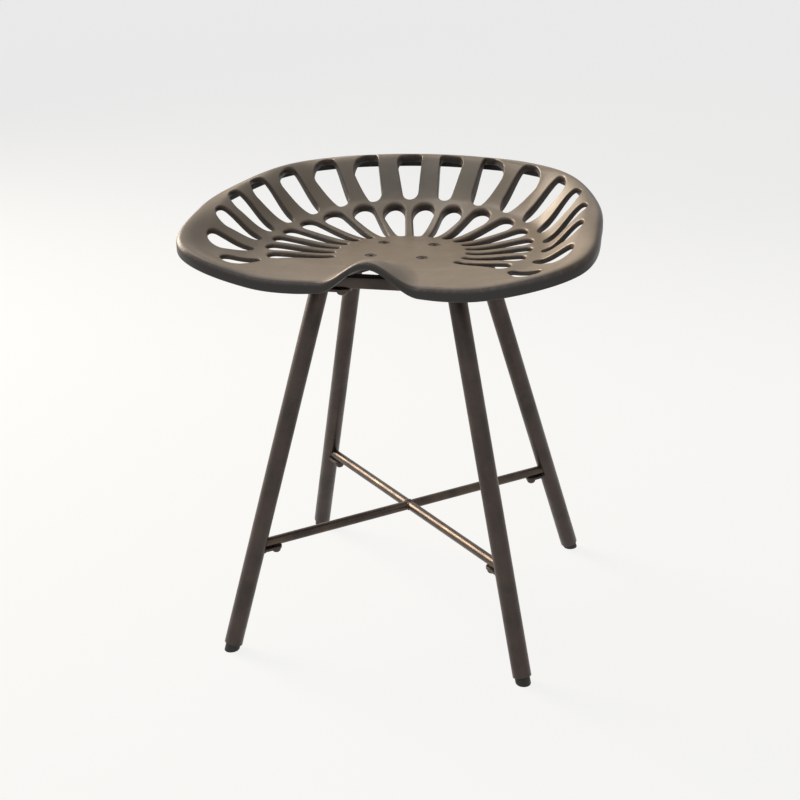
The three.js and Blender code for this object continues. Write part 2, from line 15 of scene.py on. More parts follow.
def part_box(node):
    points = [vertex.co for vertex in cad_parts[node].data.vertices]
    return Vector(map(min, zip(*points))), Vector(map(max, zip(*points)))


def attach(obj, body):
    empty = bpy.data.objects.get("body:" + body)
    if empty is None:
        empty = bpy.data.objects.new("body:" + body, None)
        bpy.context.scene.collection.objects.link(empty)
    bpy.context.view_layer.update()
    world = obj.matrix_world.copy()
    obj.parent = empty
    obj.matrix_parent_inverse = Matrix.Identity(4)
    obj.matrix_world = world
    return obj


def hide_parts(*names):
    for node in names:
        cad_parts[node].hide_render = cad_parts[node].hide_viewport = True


bl_info = {
    "name": "Tractor Seat Stool",
    "version": (1, 0, 0),
    "blender": (4, 5, 0),
    "location": "View3D > Sidebar > Stool",
    "description": "Makes a stool with a slotted cast seat, tube legs and a crossed brace",
    "category": "Add Mesh",
}

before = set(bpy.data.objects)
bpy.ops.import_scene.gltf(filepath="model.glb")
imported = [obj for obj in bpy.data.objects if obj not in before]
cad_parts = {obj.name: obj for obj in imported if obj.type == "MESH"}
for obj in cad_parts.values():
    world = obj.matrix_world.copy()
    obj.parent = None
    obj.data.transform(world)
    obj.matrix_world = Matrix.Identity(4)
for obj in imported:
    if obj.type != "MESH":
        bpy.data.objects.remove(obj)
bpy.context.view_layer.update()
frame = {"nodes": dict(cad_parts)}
BODY = "root"

MM = 0.001
SAME_PLACE = 1e-7
UP = Vector((0, 0, 1))
CORNERS = [(side, end) for end in (-1, 1) for side in (-1, 1)]
HALF_BAR_CORNERS = [(-1, 1), (1, -1)]

# Shape of the casting at equal steps of bearing, from the rear centre line to the front one. The rim's
# reach is a share of the half width and the other reaches are shares of the rim's. The rises are shares
# of the back rise, and the tilt is 1 where the web leans as far as it does anywhere.
RIM_REACH = [0.712, 0.731, 0.802, 0.868, 0.925, 1, 1.083, 0.873, 0.698, 0.665]
RIM_RISE = [1, 0.993, 0.971, 0.929, 0.8, 0.657, 0.386, 0.1, 0.036, 0.014]
SHOULDER_REACH = [0.88, 0.88, 0.905, 0.95, 0.945, 0.91, 0.862, 0.85, 0.85, 0.85]
SHOULDER_RISE = [1.03, 1.03, 0.985, 0.893, 0.814, 0.63, 0.24, 0.08, 0.035, 0.015]
WEB_REACH = [0.725, 0.715, 0.72, 0.736, 0.735, 0.71, 0.665, 0.66, 0.66, 0.66]
WEB_RISE = [0.393, 0.386, 0.357, 0.257, 0.186, 0.139, 0.093, 0.05, 0.025, 0.012]
WEB_TILT = [1, 1, 0.9, 0.7, 0.4, 0.2, 0, 0, 0, 0]

# Thickness of the casting among the slots at the same bearings, in millimetres
SLOT_WALL = [8, 8, 7.6, 6.4, 5.6, 5.2, 5, 5, 5, 5.5]

# Bearings of the slots on one side, in degrees from the rear centre line
OUTER_ENDS = [10.8, 31.9, 48.8, 63.2, 77.2, 89.8, 101.2, 112.4, 124.4]
OUTER_TIPS = [9.7, 28.7, 44.7, 58.8, 72.4, 84.8, 96.2, 108.6, 122.5]
INNER_ENDS = [0, 20.2, 38.8, 55.6, 70.2, 83.6, 95, 106.6, 118.6]
INNER_TIP_STEP = 14

# Outer slots, at the rearmost and at the foremost one: width as a share of the pitch, radius of the tip,
# and radius of the corners of the wide end as a share of half the width
OUTER_WIDTHS = 0.54, 0.62
OUTER_TIP_RADII = 8.5 * MM, 5 * MM
OUTER_CORNERS = 0.5, 0.92
OUTER_LEAST_CORNER = 5.5 * MM
OUTER_RIM_CLEARANCE = 1.4 * MM

# Inner slots: metal left between two of them, and radius of the tip
INNER_BAR = 8 * MM
INNER_TIP_RADIUS = 3.8 * MM


def corner_name(side, end):
    return ("front" if end < 0 else "rear") + ("_left" if side < 0 else "_right")


def lerp(start, end, share):
    return start + (end - start) * share


def evenly(start, end, steps):
    """Values at equal steps from one to another, both of them included."""
    return [lerp(start, end, i / steps) for i in range(steps + 1)]


def length_property(name, description, default):
    return bpy.props.FloatProperty(name=name, description=description, default=default, unit="LENGTH")


def angle_property(name, description, degrees):
    radians = math.radians(degrees)
    return bpy.props.FloatProperty(name=name, description=description, default=radians, subtype="ANGLE")


def colour_property(name, description, default):
    return bpy.props.FloatVectorProperty(
        name=name, description=description, default=default, size=3, subtype="COLOR"
    )


class SeatSizes(bpy.types.PropertyGroup):
    height: length_property("Height", "Flat middle of the seat above the floor", 0.4)
    half_width: length_property("Half width", "Middle of the seat to its rim at the widest", 0.212)
    back_rise: length_property("Back rise", "Crest of the rear rim above the flat middle", 0.07)
    wall: length_property("Wall", "Thickness of the casting in its flat middle", 0.0055)
    rim_roll: length_property("Rim roll", "Radius that turns the rim over", 0.006)
    rear_lip: length_property("Rear lip", "Crest of the rim to its lower edge at the rear", 0.0135)
    front_lip: length_property("Front lip", "Crest of the rim to its lower edge at the front", 0.013)
    pommel_rise: length_property("Pommel rise", "Height of the pommel at the front edge", 0.024)
    slot_rounding: length_property("Slot rounding", "Radius on the upper edge of an outer slot", 0.0013)
    bar_rounding: length_property("Bar rounding", "Radius on the upper edge of an inner slot", 0.0022)
    mesh_step: length_property("Mesh step", "Distance between points on the dish", 0.0022)


class ScrewSizes(bpy.types.PropertyGroup):
    half_pitch_x: length_property("Half pitch across", "Screw from the middle, sideways", 0.027)
    half_pitch_y: length_property("Half pitch along", "Screw from the middle, fore and aft", 0.026)
    radius: length_property("Shank radius", "Radius of the thread", 0.003)
    head_radius: length_property("Head radius", "Radius of the countersunk head", 0.006)
    socket_radius: length_property("Socket radius", "Middle of the key socket to its corners", 0.0023)


class FrameSizes(bpy.types.PropertyGroup):
    half_width: length_property("Half width", "Middle to the side of the sub-frame", 0.081)
    half_depth: length_property("Half depth", "Middle to the front of the sub-frame", 0.0715)
    rail: length_property("Rail", "Side of the square tube", 0.0127)
    rail_wall: length_property("Rail wall", "Wall of the square tube", 0.0016)
    corner: length_property("Corner", "Radius along the tube's corners", 0.0018)


class LegSizes(bpy.types.PropertyGroup):
    radius: length_property("Radius", "Outside of the tube", 0.0095)
    wall: length_property("Wall", "Wall of the tube", 0.0015)
    foot_x: length_property("Foot across", "Foot from the middle, sideways", 0.1558)
    foot_y: length_property("Foot along", "Foot from the middle, fore and aft", 0.1564)
    end_height: length_property("End height", "Lower end of the tube above the floor", 0.007)
    sides: bpy.props.IntProperty(name="Sides", description="Points round the tube", default=56, min=12)


class BraceSizes(bpy.types.PropertyGroup):
    height: length_property("Height", "Middle of the bars above the floor", 0.1116)
    radius: length_property("Radius", "Radius of the bars", 0.005)
    tab_half_width: length_property("Tab half width", "Half the width of a brace tab", 0.006)


class FinishColours(bpy.types.PropertyGroup):
    cast: colour_property("Casting", "Bronze finish of the seat", (0.280, 0.214, 0.153))
    cast_dark: colour_property("Casting, dark", "Bronze finish where it stays thick", (0.226, 0.174, 0.127))
    # Dark colour of the lip, slot walls, countersinks and underside: partly a finish left without brushing,
    # partly painted shade where less light falls.
    cast_unbrushed: colour_property(
        "Casting, unbrushed", "Finish of the lip, the slot walls and the underside", (0.036, 0.030, 0.026)
    )
    # Copper colour of worn edges, also used for a painted highlight line along the rim's roll.
    rubbed: colour_property(
        "Rubbed edges", "Copper that shows where the seat's finish is rubbed", (0.30, 0.17, 0.095)
    )
    tube: colour_property("Tube", "Bronze finish of the legs and rails", (0.104, 0.070, 0.055))
    tube_dark: colour_property("Tube, dark", "Darker clouds in the metal's finish", (0.058, 0.042, 0.036))
    bar: colour_property("Brace bar", "Bronze finish of the brace", (0.118, 0.082, 0.058))
    bolt: colour_property("Fastener", "Dark finish of the screws and bolts", (0.112, 0.085, 0.055))
    glide: colour_property("Glide", "Plastic of the floor glides", (0.010, 0.008, 0.007))


class StageSettings(bpy.types.PropertyGroup):
    azimuth: angle_property("Azimuth", "Camera round the stool from its front", 15.30)
    elevation: angle_property("Elevation", "Camera above the horizon", 20.80)
    roll: angle_property("Roll", "Camera turned about its line of sight", -1.50)
    distance: length_property("Distance", "Camera from the middle of the stool", 1.5775)
    aim_height: length_property("Aim height", "Height of the point that the camera stands back from", 0.23)
    offset: bpy.props.FloatVectorProperty(
        name="Offset",
        description="Camera moved along its right and up",
        default=(-0.0074, 0.0042),
        size=2,
        unit="LENGTH",
    )
    lens: bpy.props.FloatProperty(
        name="Lens", description="Focal length in millimetres on a 36 mm sensor", default=66.33
    )
    floor: colour_property("Floor", "Colour of the floor", (0.065, 0.065, 0.064))
    glow: colour_property(
        "Glow", "What the camera sees on the floor beyond its lit colour", (0.868, 0.864, 0.850)
    )
    glow_far: colour_property("Glow, far", "The same well behind the stool", (0.785, 0.785, 0.782))
    sky: colour_property("Surround", "Colour of the studio round the stool", (0.825, 0.825, 0.815))


def settings():
    return bpy.context.scene.stool


# Node trees

FLOAT, COLOUR, VECTOR = "NodeSocketFloat", "NodeSocketColor", "NodeSocketVector"
MADE = {}


def shared(name, maker):
    """A node group or material, made the first time that it is asked for."""
    if name not in MADE:
        MADE[name] = maker()
    return MADE[name]


def feed(tree, node, links):
    """Links a node's inputs to sockets or sets them; a list feeds one input that takes several."""
    for key, value in links.items():
        for item in value if isinstance(value, list) else [value]:
            if isinstance(item, bpy.types.NodeSocket):
                tree.links.new(item, node.inputs[key])
            else:
                node.inputs[key].default_value = item


def add(tree, kind, links=None, **values):
    """A node in a tree, with its settings, and inputs that are each a value or a socket to link."""
    node = tree.nodes.new(kind)
    for name, value in values.items():
        setattr(node, name, value)
    feed(tree, node, links or {})
    return node


def maths(tree, operation, *operands):
    return add(tree, "ShaderNodeMath", dict(enumerate(operands)), operation=operation).outputs[0]


def vectors(tree, operation, *operands):
    node = add(tree, "ShaderNodeVectorMath", dict(enumerate(operands)), operation=operation)
    return node.outputs["Value" if operation in ("DOT_PRODUCT", "LENGTH") else "Vector"]


def combined(tree, x=0.0, y=0.0, z=0.0):
    return add(tree, "ShaderNodeCombineXYZ", {"X": x, "Y": y, "Z": z}).outputs[0]


def mixed(tree, share, start, end):
    """A colour on its way from one to another, each a colour or a socket."""
    start, end = (item if isinstance(item, bpy.types.NodeSocket) else (*item, 1) for item in (start, end))
    share_input, start_colour, end_colour, mixed_colour = 0, 6, 7, 2
    links = {share_input: share, start_colour: start, end_colour: end}
    return add(tree, "ShaderNodeMix", links, data_type="RGBA").outputs[mixed_colour]


def group(name, kind, inputs, outputs):
    """An empty node group with named sockets, what its input node gives, and its output node."""
    tree = bpy.data.node_groups.new(name, kind)
    for direction, sockets in (("INPUT", inputs), ("OUTPUT", outputs)):
        for label, socket_type, default in sockets:
            socket = tree.interface.new_socket(name=label, in_out=direction, socket_type=socket_type)
            if default is not None:
                socket.default_value = default
    return tree, tree.nodes.new("NodeGroupInput").outputs, tree.nodes.new("NodeGroupOutput")


def placed_group(tree, name, maker, links):
    """A shared group's outputs, where it is placed in a material."""
    return add(tree, "ShaderNodeGroup", links, node_tree=shared(name, maker)).outputs


# Materials

def metal_grain():
    """Clouds, fine grain and scuffs of a sprayed finish worn by rubbing."""
    inputs = [("Cloud scale", FLOAT, 20.0), ("Grain scale", FLOAT, 600.0)]
    outputs = [("Clouds", FLOAT, None), ("Grain", FLOAT, None), ("Scuffs", FLOAT, None)]
    tree, given, out = group("Metal grain", "ShaderNodeTree", inputs, outputs)
    place = tree.nodes.new("ShaderNodeTexCoord").outputs["Object"]

    def noise(scale, detail, roughness):
        links = {"Vector": place, "Scale": scale, "Detail": detail, "Roughness": roughness}
        return add(tree, "ShaderNodeTexNoise", links).outputs[0]

    def spread(value, low, high):
        """Nothing below the low level and all of it above the high one."""
        links = {"Value": value, "From Min": low, "From Max": high}
        return add(tree, "ShaderNodeMapRange", links).outputs[0]

    scuffs_in_a_cloud = 7.0
    scuff_scale = maths(tree, "MULTIPLY", given["Cloud scale"], scuffs_in_a_cloud)
    feed(tree, out, {
        "Clouds": spread(noise(given["Cloud scale"], detail=5.0, roughness=0.6), low=0.32, high=0.68),
        "Grain": noise(given["Grain scale"], detail=3.0, roughness=0.65),
        "Scuffs": spread(noise(scuff_scale, detail=4.0, roughness=0.7), low=0.5, high=0.75),
    })
    return tree


def rubbed_finish():
    """Two tones of finish, and copper, each where a mask says. The dark tone is partly a finish left without
    brushing and partly painted shade on the lip, the slot walls and the underside; the copper is partly worn
    edges and partly a painted highlight along the rim's roll.
    """
    inputs = [(name, COLOUR, None) for name in ("Finish", "Thick finish", "Unbrushed", "Copper")]
    inputs += [("Clouds", FLOAT, 0.5), ("Scuffs", FLOAT, 0.0), ("Rub", FLOAT, 0.0)]
    inputs += [("Brushed", FLOAT, 1.0), ("Base roughness", FLOAT, 0.4)]
    outputs = [("Colour", COLOUR, None), ("Roughness", FLOAT, None)]
    tree, given, out = group("Rubbed finish", "ShaderNodeTree", inputs, outputs)
    smooth_bare, scuffed_bare = 0.35, 0.9
    cloud_polish, copper_polish = -0.14, 0.12
    brushed = mixed(tree, given["Clouds"], given["Thick finish"], given["Finish"])
    # Where the brushed mask is low the dark tone shows: partly a finish left without brushing, partly painted
    # shade on the lip, slot walls and underside.
    tones = mixed(tree, given["Brushed"], given["Unbrushed"], brushed)
    # Copper share from the rub mask: worn edges, and a painted highlight line along the rim's roll.
    ragged = maths(tree, "ADD", maths(tree, "MULTIPLY", given["Scuffs"], scuffed_bare), smooth_bare)
    bare = maths(tree, "MINIMUM", maths(tree, "MULTIPLY", given["Rub"], ragged), 1.0)
    clouded = maths(tree, "MULTIPLY", maths(tree, "SUBTRACT", given["Clouds"], 0.5), cloud_polish)
    patchy = maths(tree, "ADD", given["Base roughness"], clouded)
    polish = maths(tree, "MULTIPLY", bare, copper_polish)
    feed(tree, out, {
        "Colour": mixed(tree, bare, tones, given["Copper"]),
        "Roughness": maths(tree, "SUBTRACT", patchy, polish),
    })
    return tree


def blank_material(name):
    material = bpy.data.materials.new(name)
    material.use_nodes = True
    tree = material.node_tree
    return material, tree, tree.nodes["Principled BSDF"]


def dents(tree, depth, height):
    """The normal of a surface with dents of a depth in metres."""
    return add(tree, "ShaderNodeBump", {"Strength": 1.0, "Distance": depth, "Height": height}).outputs[0]


def bronze(name, finish, thick, metallic, roughness, cloud_scale, grain_scale, depth, wear=None):
    """A bronze finish on metal. With wear, the colours of its dark places, partly a finish left without
    brushing and partly painted shade, and of its copper, partly worn edges and partly a painted highlight;
    the piece's attributes rub and brushed say where they show."""
    material, tree, shader = blank_material(name)
    scales = {"Cloud scale": cloud_scale, "Grain scale": grain_scale}
    grain = placed_group(tree, "Metal grain", metal_grain, scales)
    links = {"Finish": (*finish, 1), "Thick finish": (*thick, 1), "Base roughness": roughness}
    links.update({"Clouds": grain["Clouds"], "Scuffs": grain["Scuffs"]})
    if wear:
        unbrushed, copper = wear
        links.update({"Unbrushed": (*unbrushed, 1), "Copper": (*copper, 1)})
        for label in ("Rub", "Brushed"):
            links[label] = add(tree, "ShaderNodeAttribute", attribute_name=label.lower()).outputs["Fac"]
    coat = placed_group(tree, "Rubbed finish", rubbed_finish, links)
    scuff_depth = -0.5
    height = maths(tree, "ADD", grain["Grain"], maths(tree, "MULTIPLY", grain["Scuffs"], scuff_depth))
    feed(tree, shader, {
        "Base Color": coat["Colour"],
        "Roughness": coat["Roughness"],
        "Metallic": metallic,
        "Normal": dents(tree, depth, height),
    })
    return material


def cast_bronze():
    c = settings().finish
    return bronze(
        "Cast bronze", c.cast, c.cast_dark, wear=(c.cast_unbrushed, c.rubbed),
        metallic=0.08, roughness=0.42, cloud_scale=22.0, grain_scale=700.0, depth=0.00012,
    )


def tube_bronze():
    c = settings().finish
    return bronze(
        "Tube bronze", c.tube, c.tube_dark,
        metallic=0.35, roughness=0.38, cloud_scale=35.0, grain_scale=900.0, depth=0.00008,
    )


def bar_bronze():
    c = settings().finish
    return bronze(
        "Bar bronze", c.bar, c.tube_dark,
        metallic=0.6, roughness=0.34, cloud_scale=40.0, grain_scale=900.0, depth=0.00005,
    )


def bolt_finish():
    c = settings().finish
    return bronze(
        "Fastener finish", c.bolt, c.tube_dark,
        metallic=0.3, roughness=0.42, cloud_scale=80.0, grain_scale=1500.0, depth=0.00003,
    )


def glide_plastic():
    """Matt moulded plastic with a fine spark-eroded grain and a little floor dust."""
    material, tree, shader = blank_material("Glide plastic")
    colour = settings().finish.glide
    dust_tone, dust_cover, dust_share = 0.12, 0.5, 0.35
    roughness, cloud_roughness, grain_depth = 0.55, 0.15, 0.00004
    dusty = [lerp(part, dust_tone, dust_cover) for part in colour]
    grain = placed_group(tree, "Metal grain", metal_grain, {"Cloud scale": 90.0, "Grain scale": 2200.0})
    dust = maths(tree, "MULTIPLY", grain["Scuffs"], dust_share)
    clouded = maths(tree, "MULTIPLY", grain["Clouds"], cloud_roughness)
    feed(tree, shader, {
        "Base Color": mixed(tree, dust, colour, dusty),
        "Roughness": maths(tree, "ADD", clouded, roughness),
        "Normal": dents(tree, grain_depth, grain["Grain"]),
    })
    return material


# Meshes

def linked(name, mesh):
    piece = bpy.data.objects.new(name, mesh)
    bpy.context.scene.collection.objects.link(piece)
    return piece


def made(name, vertices, faces, material, crease=math.radians(40)):
    """A smooth shaded piece from points and faces, its faces turned outwards."""
    mesh = bpy.data.meshes.new(name)
    mesh.from_pydata([tuple(v) for v in vertices], [], faces)
    shape = bmesh.new()
    shape.from_mesh(mesh)
    bmesh.ops.recalc_face_normals(shape, faces=shape.faces)
    shape.to_mesh(mesh)
    shape.free()
    if any(len(polygon.vertices) < 3 for polygon in mesh.polygons) or not mesh.polygons:
        raise RuntimeError(f"{name} has no faces")
    mesh.materials.append(material)
    mesh.shade_smooth()
    mesh.set_sharp_from_angle(angle=crease)
    return linked(name, mesh)


def finished(piece, slot, *nodes):
    """The piece rides on the stool and stands for its CAD nodes, which it hides; slot is not used."""
    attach(piece, BODY)
    if nodes:
        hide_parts(*nodes)


def loft(rings, cyclic=False, caps=False):
    """Points and faces through rings with the same number of points."""
    count = len(rings[0])
    points = [point for ring in rings for point in ring]
    faces = []
    for k in range(len(rings) if cyclic else len(rings) - 1):
        near, far = k * count, (k + 1) % len(rings) * count
        for i in range(count):
            j = (i + 1) % count
            faces.append((near + i, near + j, far + j, far + i))
    if caps:
        faces.append(tuple(range(count)))
        faces.append(tuple(range(len(points) - count, len(points))))
    return points, faces


def spokes(across, beside, count):
    """Unit vectors round a circle in the plane of two others."""
    angles = [2 * math.pi * i / count for i in range(count)]
    return [math.cos(angle) * across + math.sin(angle) * beside for angle in angles]


def quarter_turn(steps):
    return [math.pi / 2 * i / steps for i in range(steps + 1)]


def rounded_outline(half_x, half_y, radius, steps=4):
    """A rectangle with round corners, counter-clockwise about the origin."""
    outline = []
    for k, (sx, sy) in enumerate(((1, 1), (-1, 1), (-1, -1), (1, -1))):
        centre = Vector((sx * (half_x - radius), sy * (half_y - radius)))
        for i in range(steps + 1):
            angle = math.pi / 2 * (k + i / steps)
            outline.append(centre + radius * Vector((math.cos(angle), math.sin(angle))))
    return outline


def inset(outline, distance):
    """A convex outline moved inwards, with the same number of points."""
    no_length = 1e-9
    inner = []
    for i, point in enumerate(outline):
        before = point - outline[i - 1]
        after = outline[(i + 1) % len(outline)] - point
        normals = [Vector((-v.y, v.x)).normalized() for v in (before, after) if v.length > no_length]
        inward = sum(normals, Vector((0, 0))).normalized()
        inner.append(point + inward * distance / max(inward.dot(normals[0]), 0.5))
    return inner


def slab(outline, low, high, rounding, steps=3):
    """A flat plate between two heights, with its upper and lower edges rounded."""
    rings = []
    for level, sign in ((low, 1), (high, -1)):
        turn = []
        for angle in quarter_turn(steps):
            edge = inset(outline, rounding * (1 - math.sin(angle)))
            height = level + sign * rounding * (1 - math.cos(angle))
            turn.append([(p.x, p.y, height) for p in edge])
        rings.extend(turn if sign > 0 else reversed(turn))
    return loft(rings, caps=True)


# The cast seat

def around(shares, bearing):
    """A table's value at a bearing from the rear centre line: smooth, and alike on both sides."""
    last = len(shares) - 1
    place = min(abs(bearing) / math.pi, 1) * last
    k = min(int(place), last - 1)
    t = place - k
    a, b, c, d = (shares[2 * last - i if i > last else abs(i)] for i in range(k - 1, k + 3))
    return b + 0.5 * t * (c - a + t * (2 * a - 5 * b + 4 * c - d + t * (3 * (b - c) + d - a)))


def through(knots, reach):
    """A curve through knots of (reach, rise), level at both ends, that never overshoots a knot."""
    last = len(knots) - 1
    if reach <= knots[0][0]:
        return knots[0][1]
    if reach >= knots[last][0]:
        return knots[last][1]
    secants = [(knots[i + 1][1] - knots[i][1]) / (knots[i + 1][0] - knots[i][0]) for i in range(last)]
    leans = [0.0] * (last + 1)
    for i in range(1, last):
        product = secants[i - 1] * secants[i]
        leans[i] = 0.0 if product <= 0 else 2 * product / (secants[i - 1] + secants[i])
    i = next(k for k in range(last + 1) if knots[k][0] >= reach) - 1
    span = knots[i + 1][0] - knots[i][0]
    t = (reach - knots[i][0]) / span
    start = (1 + 2 * t) * (1 - t) ** 2 * knots[i][1] + t * (1 - t) ** 2 * span * leans[i]
    end = t * t * (3 - 2 * t) * knots[i + 1][1] + t * t * (t - 1) * span * leans[i + 1]
    return start + end


def smooth(share):
    """A share kept from 0 to 1 and eased at both ends."""
    share = min(max(share, 0), 1)
    return share * share * (3 - 2 * share)


def bell(x, half_width):
    return 0.5 * (1 + math.cos(math.pi * min(abs(x) / half_width, 1)))


def spot(bearing, reach):
    return Vector((reach * math.sin(bearing), reach * math.cos(bearing)))


def laid(plan, surface):
    """Places of a plan put on a surface."""
    return [(*place, surface(*place)) for place in plan]


class SeatShape:
    """The casting's surfaces over its plan."""

    plate_radius = 67.5 * MM
    plate_shift = 10 * MM
    pommel_half_width = 50 * MM
    pommel_end_share = 0.27
    pommel_taper_share = 0.2
    pommel_rim_share = 0.45
    pommel_rim_spread = 75 * MM
    ring_web = 13 * MM
    tilted_web = 4.7 * MM
    tilted_slope = 0.66
    rim_band = 11 * MM
    lip_wall = 7 * MM
    lip_edge = 1.5 * MM
    inner_edge_share = 0.6
    lip_foot_rub = 0.6
    wall_margin = 5 * MM
    wall_change_share = 0.4

    def __init__(self, sizes):
        self.height = sizes.height
        self.half_width = sizes.half_width
        self.back_rise = sizes.back_rise
        self.wall = sizes.wall
        self.roll = sizes.rim_roll
        self.lips = sizes.rear_lip, sizes.front_lip
        self.pommel_rise = sizes.pommel_rise
        self.front = self.rim(math.pi)

    def rim(self, bearing):
        return self.half_width * around(RIM_REACH, bearing)

    def web(self, bearing, edge):
        """Reach of an edge of the web between the two rows of slots: the inner one at -1, the outer at 1."""
        middle = self.rim(bearing) * around(WEB_REACH, bearing) - self.ring_web / 2
        return middle + edge * lerp(self.ring_web, self.tilted_web, around(WEB_TILT, bearing)) / 2

    def web_rise(self, bearing, edge):
        """Rise of an edge of the web, which lies level at the sides and leans with the dish at the rear."""
        lean = around(WEB_TILT, bearing) * self.tilted_slope * self.tilted_web / 2
        return self.back_rise * around(WEB_RISE, bearing) + edge * lean

    def shoulder(self, bearing):
        rim = self.rim(bearing)
        return min(rim * around(SHOULDER_REACH, bearing), rim - self.rim_band)

    def crest(self, bearing):
        return self.rim(bearing) - self.roll * self.rim_scale(bearing)

    def inside(self, bearing):
        return self.rim(bearing) - self.lip_wall * self.rim_scale(bearing)

    def plate(self, bearing):
        aside = self.plate_shift * math.sin(bearing)
        return math.sqrt(self.plate_radius ** 2 - aside ** 2) - self.plate_shift * math.cos(bearing)

    def pommel(self, x, y):
        end = self.front * self.pommel_end_share
        forward = min(max((-y - end) / (self.front - end), 0), 1)
        widening = math.sin(forward * math.pi / 2)
        half_width = self.pommel_half_width * lerp(self.pommel_taper_share, 1, widening)
        return smooth(forward) * bell(x, half_width)

    def rim_scale(self, bearing):
        if abs(bearing) < math.pi / 2:
            return 1
        x = self.rim(bearing) * math.sin(bearing)
        return 1 - self.pommel_rim_share * bell(x, self.pommel_rim_spread)

    def rise(self, x, y):
        bearing = math.atan2(x, y)
        knots = [
            (self.plate(bearing), 0.0),
            (self.web(bearing, -1), self.web_rise(bearing, -1)),
            (self.web(bearing, 1), self.web_rise(bearing, 1)),
            (self.shoulder(bearing), self.back_rise * around(SHOULDER_RISE, bearing)),
            (self.crest(bearing), self.back_rise * around(RIM_RISE, bearing)),
        ]
        return through(knots, math.hypot(x, y)) + self.pommel_rise * self.pommel(x, y)

    def top(self, x, y):
        return self.height + self.rise(x, y)

    def under(self, x, y):
        bearing, reach = math.atan2(x, y), math.hypot(x, y)
        shoulder, inside = self.shoulder(bearing), self.inside(bearing)
        if reach <= shoulder:
            return self.offset_under(x, y)
        share = min((reach - shoulder) / (inside - shoulder), 1)
        near, edge = spot(bearing, shoulder), spot(bearing, self.crest(bearing))
        return lerp(self.offset_under(*near), self.top(*edge) - self.wall, share)

    def depth(self, x, y):
        """Thickness of the casting: one wall in the flat middle, and another among the slots."""
        bearing, reach = math.atan2(x, y), math.hypot(x, y)
        start = self.plate(bearing) + self.wall_margin
        share = smooth((reach - start) / (self.wall_change_share * (self.web(bearing, -1) - start)))
        return lerp(self.wall, around(SLOT_WALL, bearing) * MM, share)

    def offset_under(self, x, y):
        """Height of the underside: the casting's thickness, square to the surface, below the top."""
        step = self.wall / 8
        slope_x = (self.rise(x + step, y) - self.rise(x - step, y)) / (2 * step)
        slope_y = (self.rise(x, y + step) - self.rise(x, y - step)) / (2 * step)
        return self.top(x, y) - self.depth(x, y) * math.sqrt(1 + slope_x ** 2 + slope_y ** 2)

    def lip(self, bearing):
        """Rim section as (reach, height, copper share): over the roll, down the lip and round to its inner
        side. The copper peaks halfway over the roll as a painted highlight line, and is smaller at the lip's
        lower edge.
        """
        rim, scale = self.rim(bearing), self.rim_scale(bearing)
        roll, edge = self.roll * scale, self.lip_edge * scale
        soft = self.inner_edge_share * edge
        inside = rim - self.lip_wall * scale
        crest = self.top(*spot(bearing, rim - roll))
        foot = crest - lerp(*self.lips, abs(bearing) / math.pi) * scale
        roll_steps, edge_steps, inner_steps = 7, 4, 3
        section = []
        for angle in quarter_turn(roll_steps)[1:]:
            reach, height = rim - roll + roll * math.sin(angle), crest - roll + roll * math.cos(angle)
            section.append((reach, height, math.sin(2 * angle) ** 2))
        for angle in quarter_turn(edge_steps):
            reach, height = rim - edge + edge * math.cos(angle), foot + edge - edge * math.sin(angle)
            section.append((reach, height, self.lip_foot_rub * math.sin(2 * angle)))
        for angle in quarter_turn(inner_steps):
            reach, height = inside + soft - soft * math.sin(angle), foot + soft - soft * math.cos(angle)
            section.append((reach, height, 0.0))
        return section


def slot_path(tip, tip_radius, end, end_radius, half_gap, step):
    """Points and outward normals round a slot: a circle at its tip and two at its wide end, drawn round."""
    along = end - tip
    heading, reach = math.atan2(along.y, along.x), along.length
    touch = math.atan2(half_gap, reach) + math.acos((tip_radius - end_radius) / math.hypot(reach, half_gap))
    arcs = [
        (Vector((0, 0)), tip_radius, touch, 2 * math.pi - touch),
        (Vector((reach, -half_gap)), end_radius, -touch, 0),
        (Vector((reach, half_gap)), end_radius, 0, touch),
    ]
    straight_step = 1.8 * step
    path = []
    for centre, radius, start, stop in arcs:
        count = max(3, math.ceil(radius * (stop - start) / step))
        turn = []
        for angle in evenly(start, stop, count):
            normal = Vector((math.cos(angle), math.sin(angle)))
            turn.append((centre + radius * normal, normal))
        if path:
            path.extend(side(path[-1], turn[0], straight_step))
        path.extend(turn if not path or (turn[0][0] - path[-1][0]).length > SAME_PLACE else turn[1:])
    path.extend(side(path[-1], path[0], straight_step))
    turned = Matrix.Rotation(heading, 2)
    return [(turned @ point + tip, turned @ normal) for point, normal in path]


def side(start, stop, step):
    """Points strictly between two, on a straight side."""
    length = (stop[0] - start[0]).length
    count = math.ceil(length / step) if length > SAME_PLACE else 1
    return [(start[0].lerp(stop[0], i / count), start[1]) for i in range(1, count)]


def slot_cell(degrees, i):
    """Bearings at which a slot's cell starts, lies and ends."""
    before = degrees[i - 1] if i > 0 else -degrees[0 if degrees[0] > 0 else 1]
    after = degrees[i + 1] if i + 1 < len(degrees) else 2 * degrees[i] - before
    return [math.radians(a) for a in ((before + degrees[i]) / 2, degrees[i], (degrees[i] + after) / 2)]


def unrolled(shape, foot, head, steps=60):
    """Pairs of a distance walked up the dish from foot to head and the distance covered in plan."""
    pairs, walked = [(0.0, 0.0)], 0.0
    length = (head - foot).length
    low = shape.rise(*foot)
    for i in range(1, steps + 1):
        place = foot.lerp(head, i / steps)
        high = shape.rise(*place)
        walked += math.hypot(length / steps, high - low)
        low = high
        pairs.append((walked, length * i / steps))
    return pairs


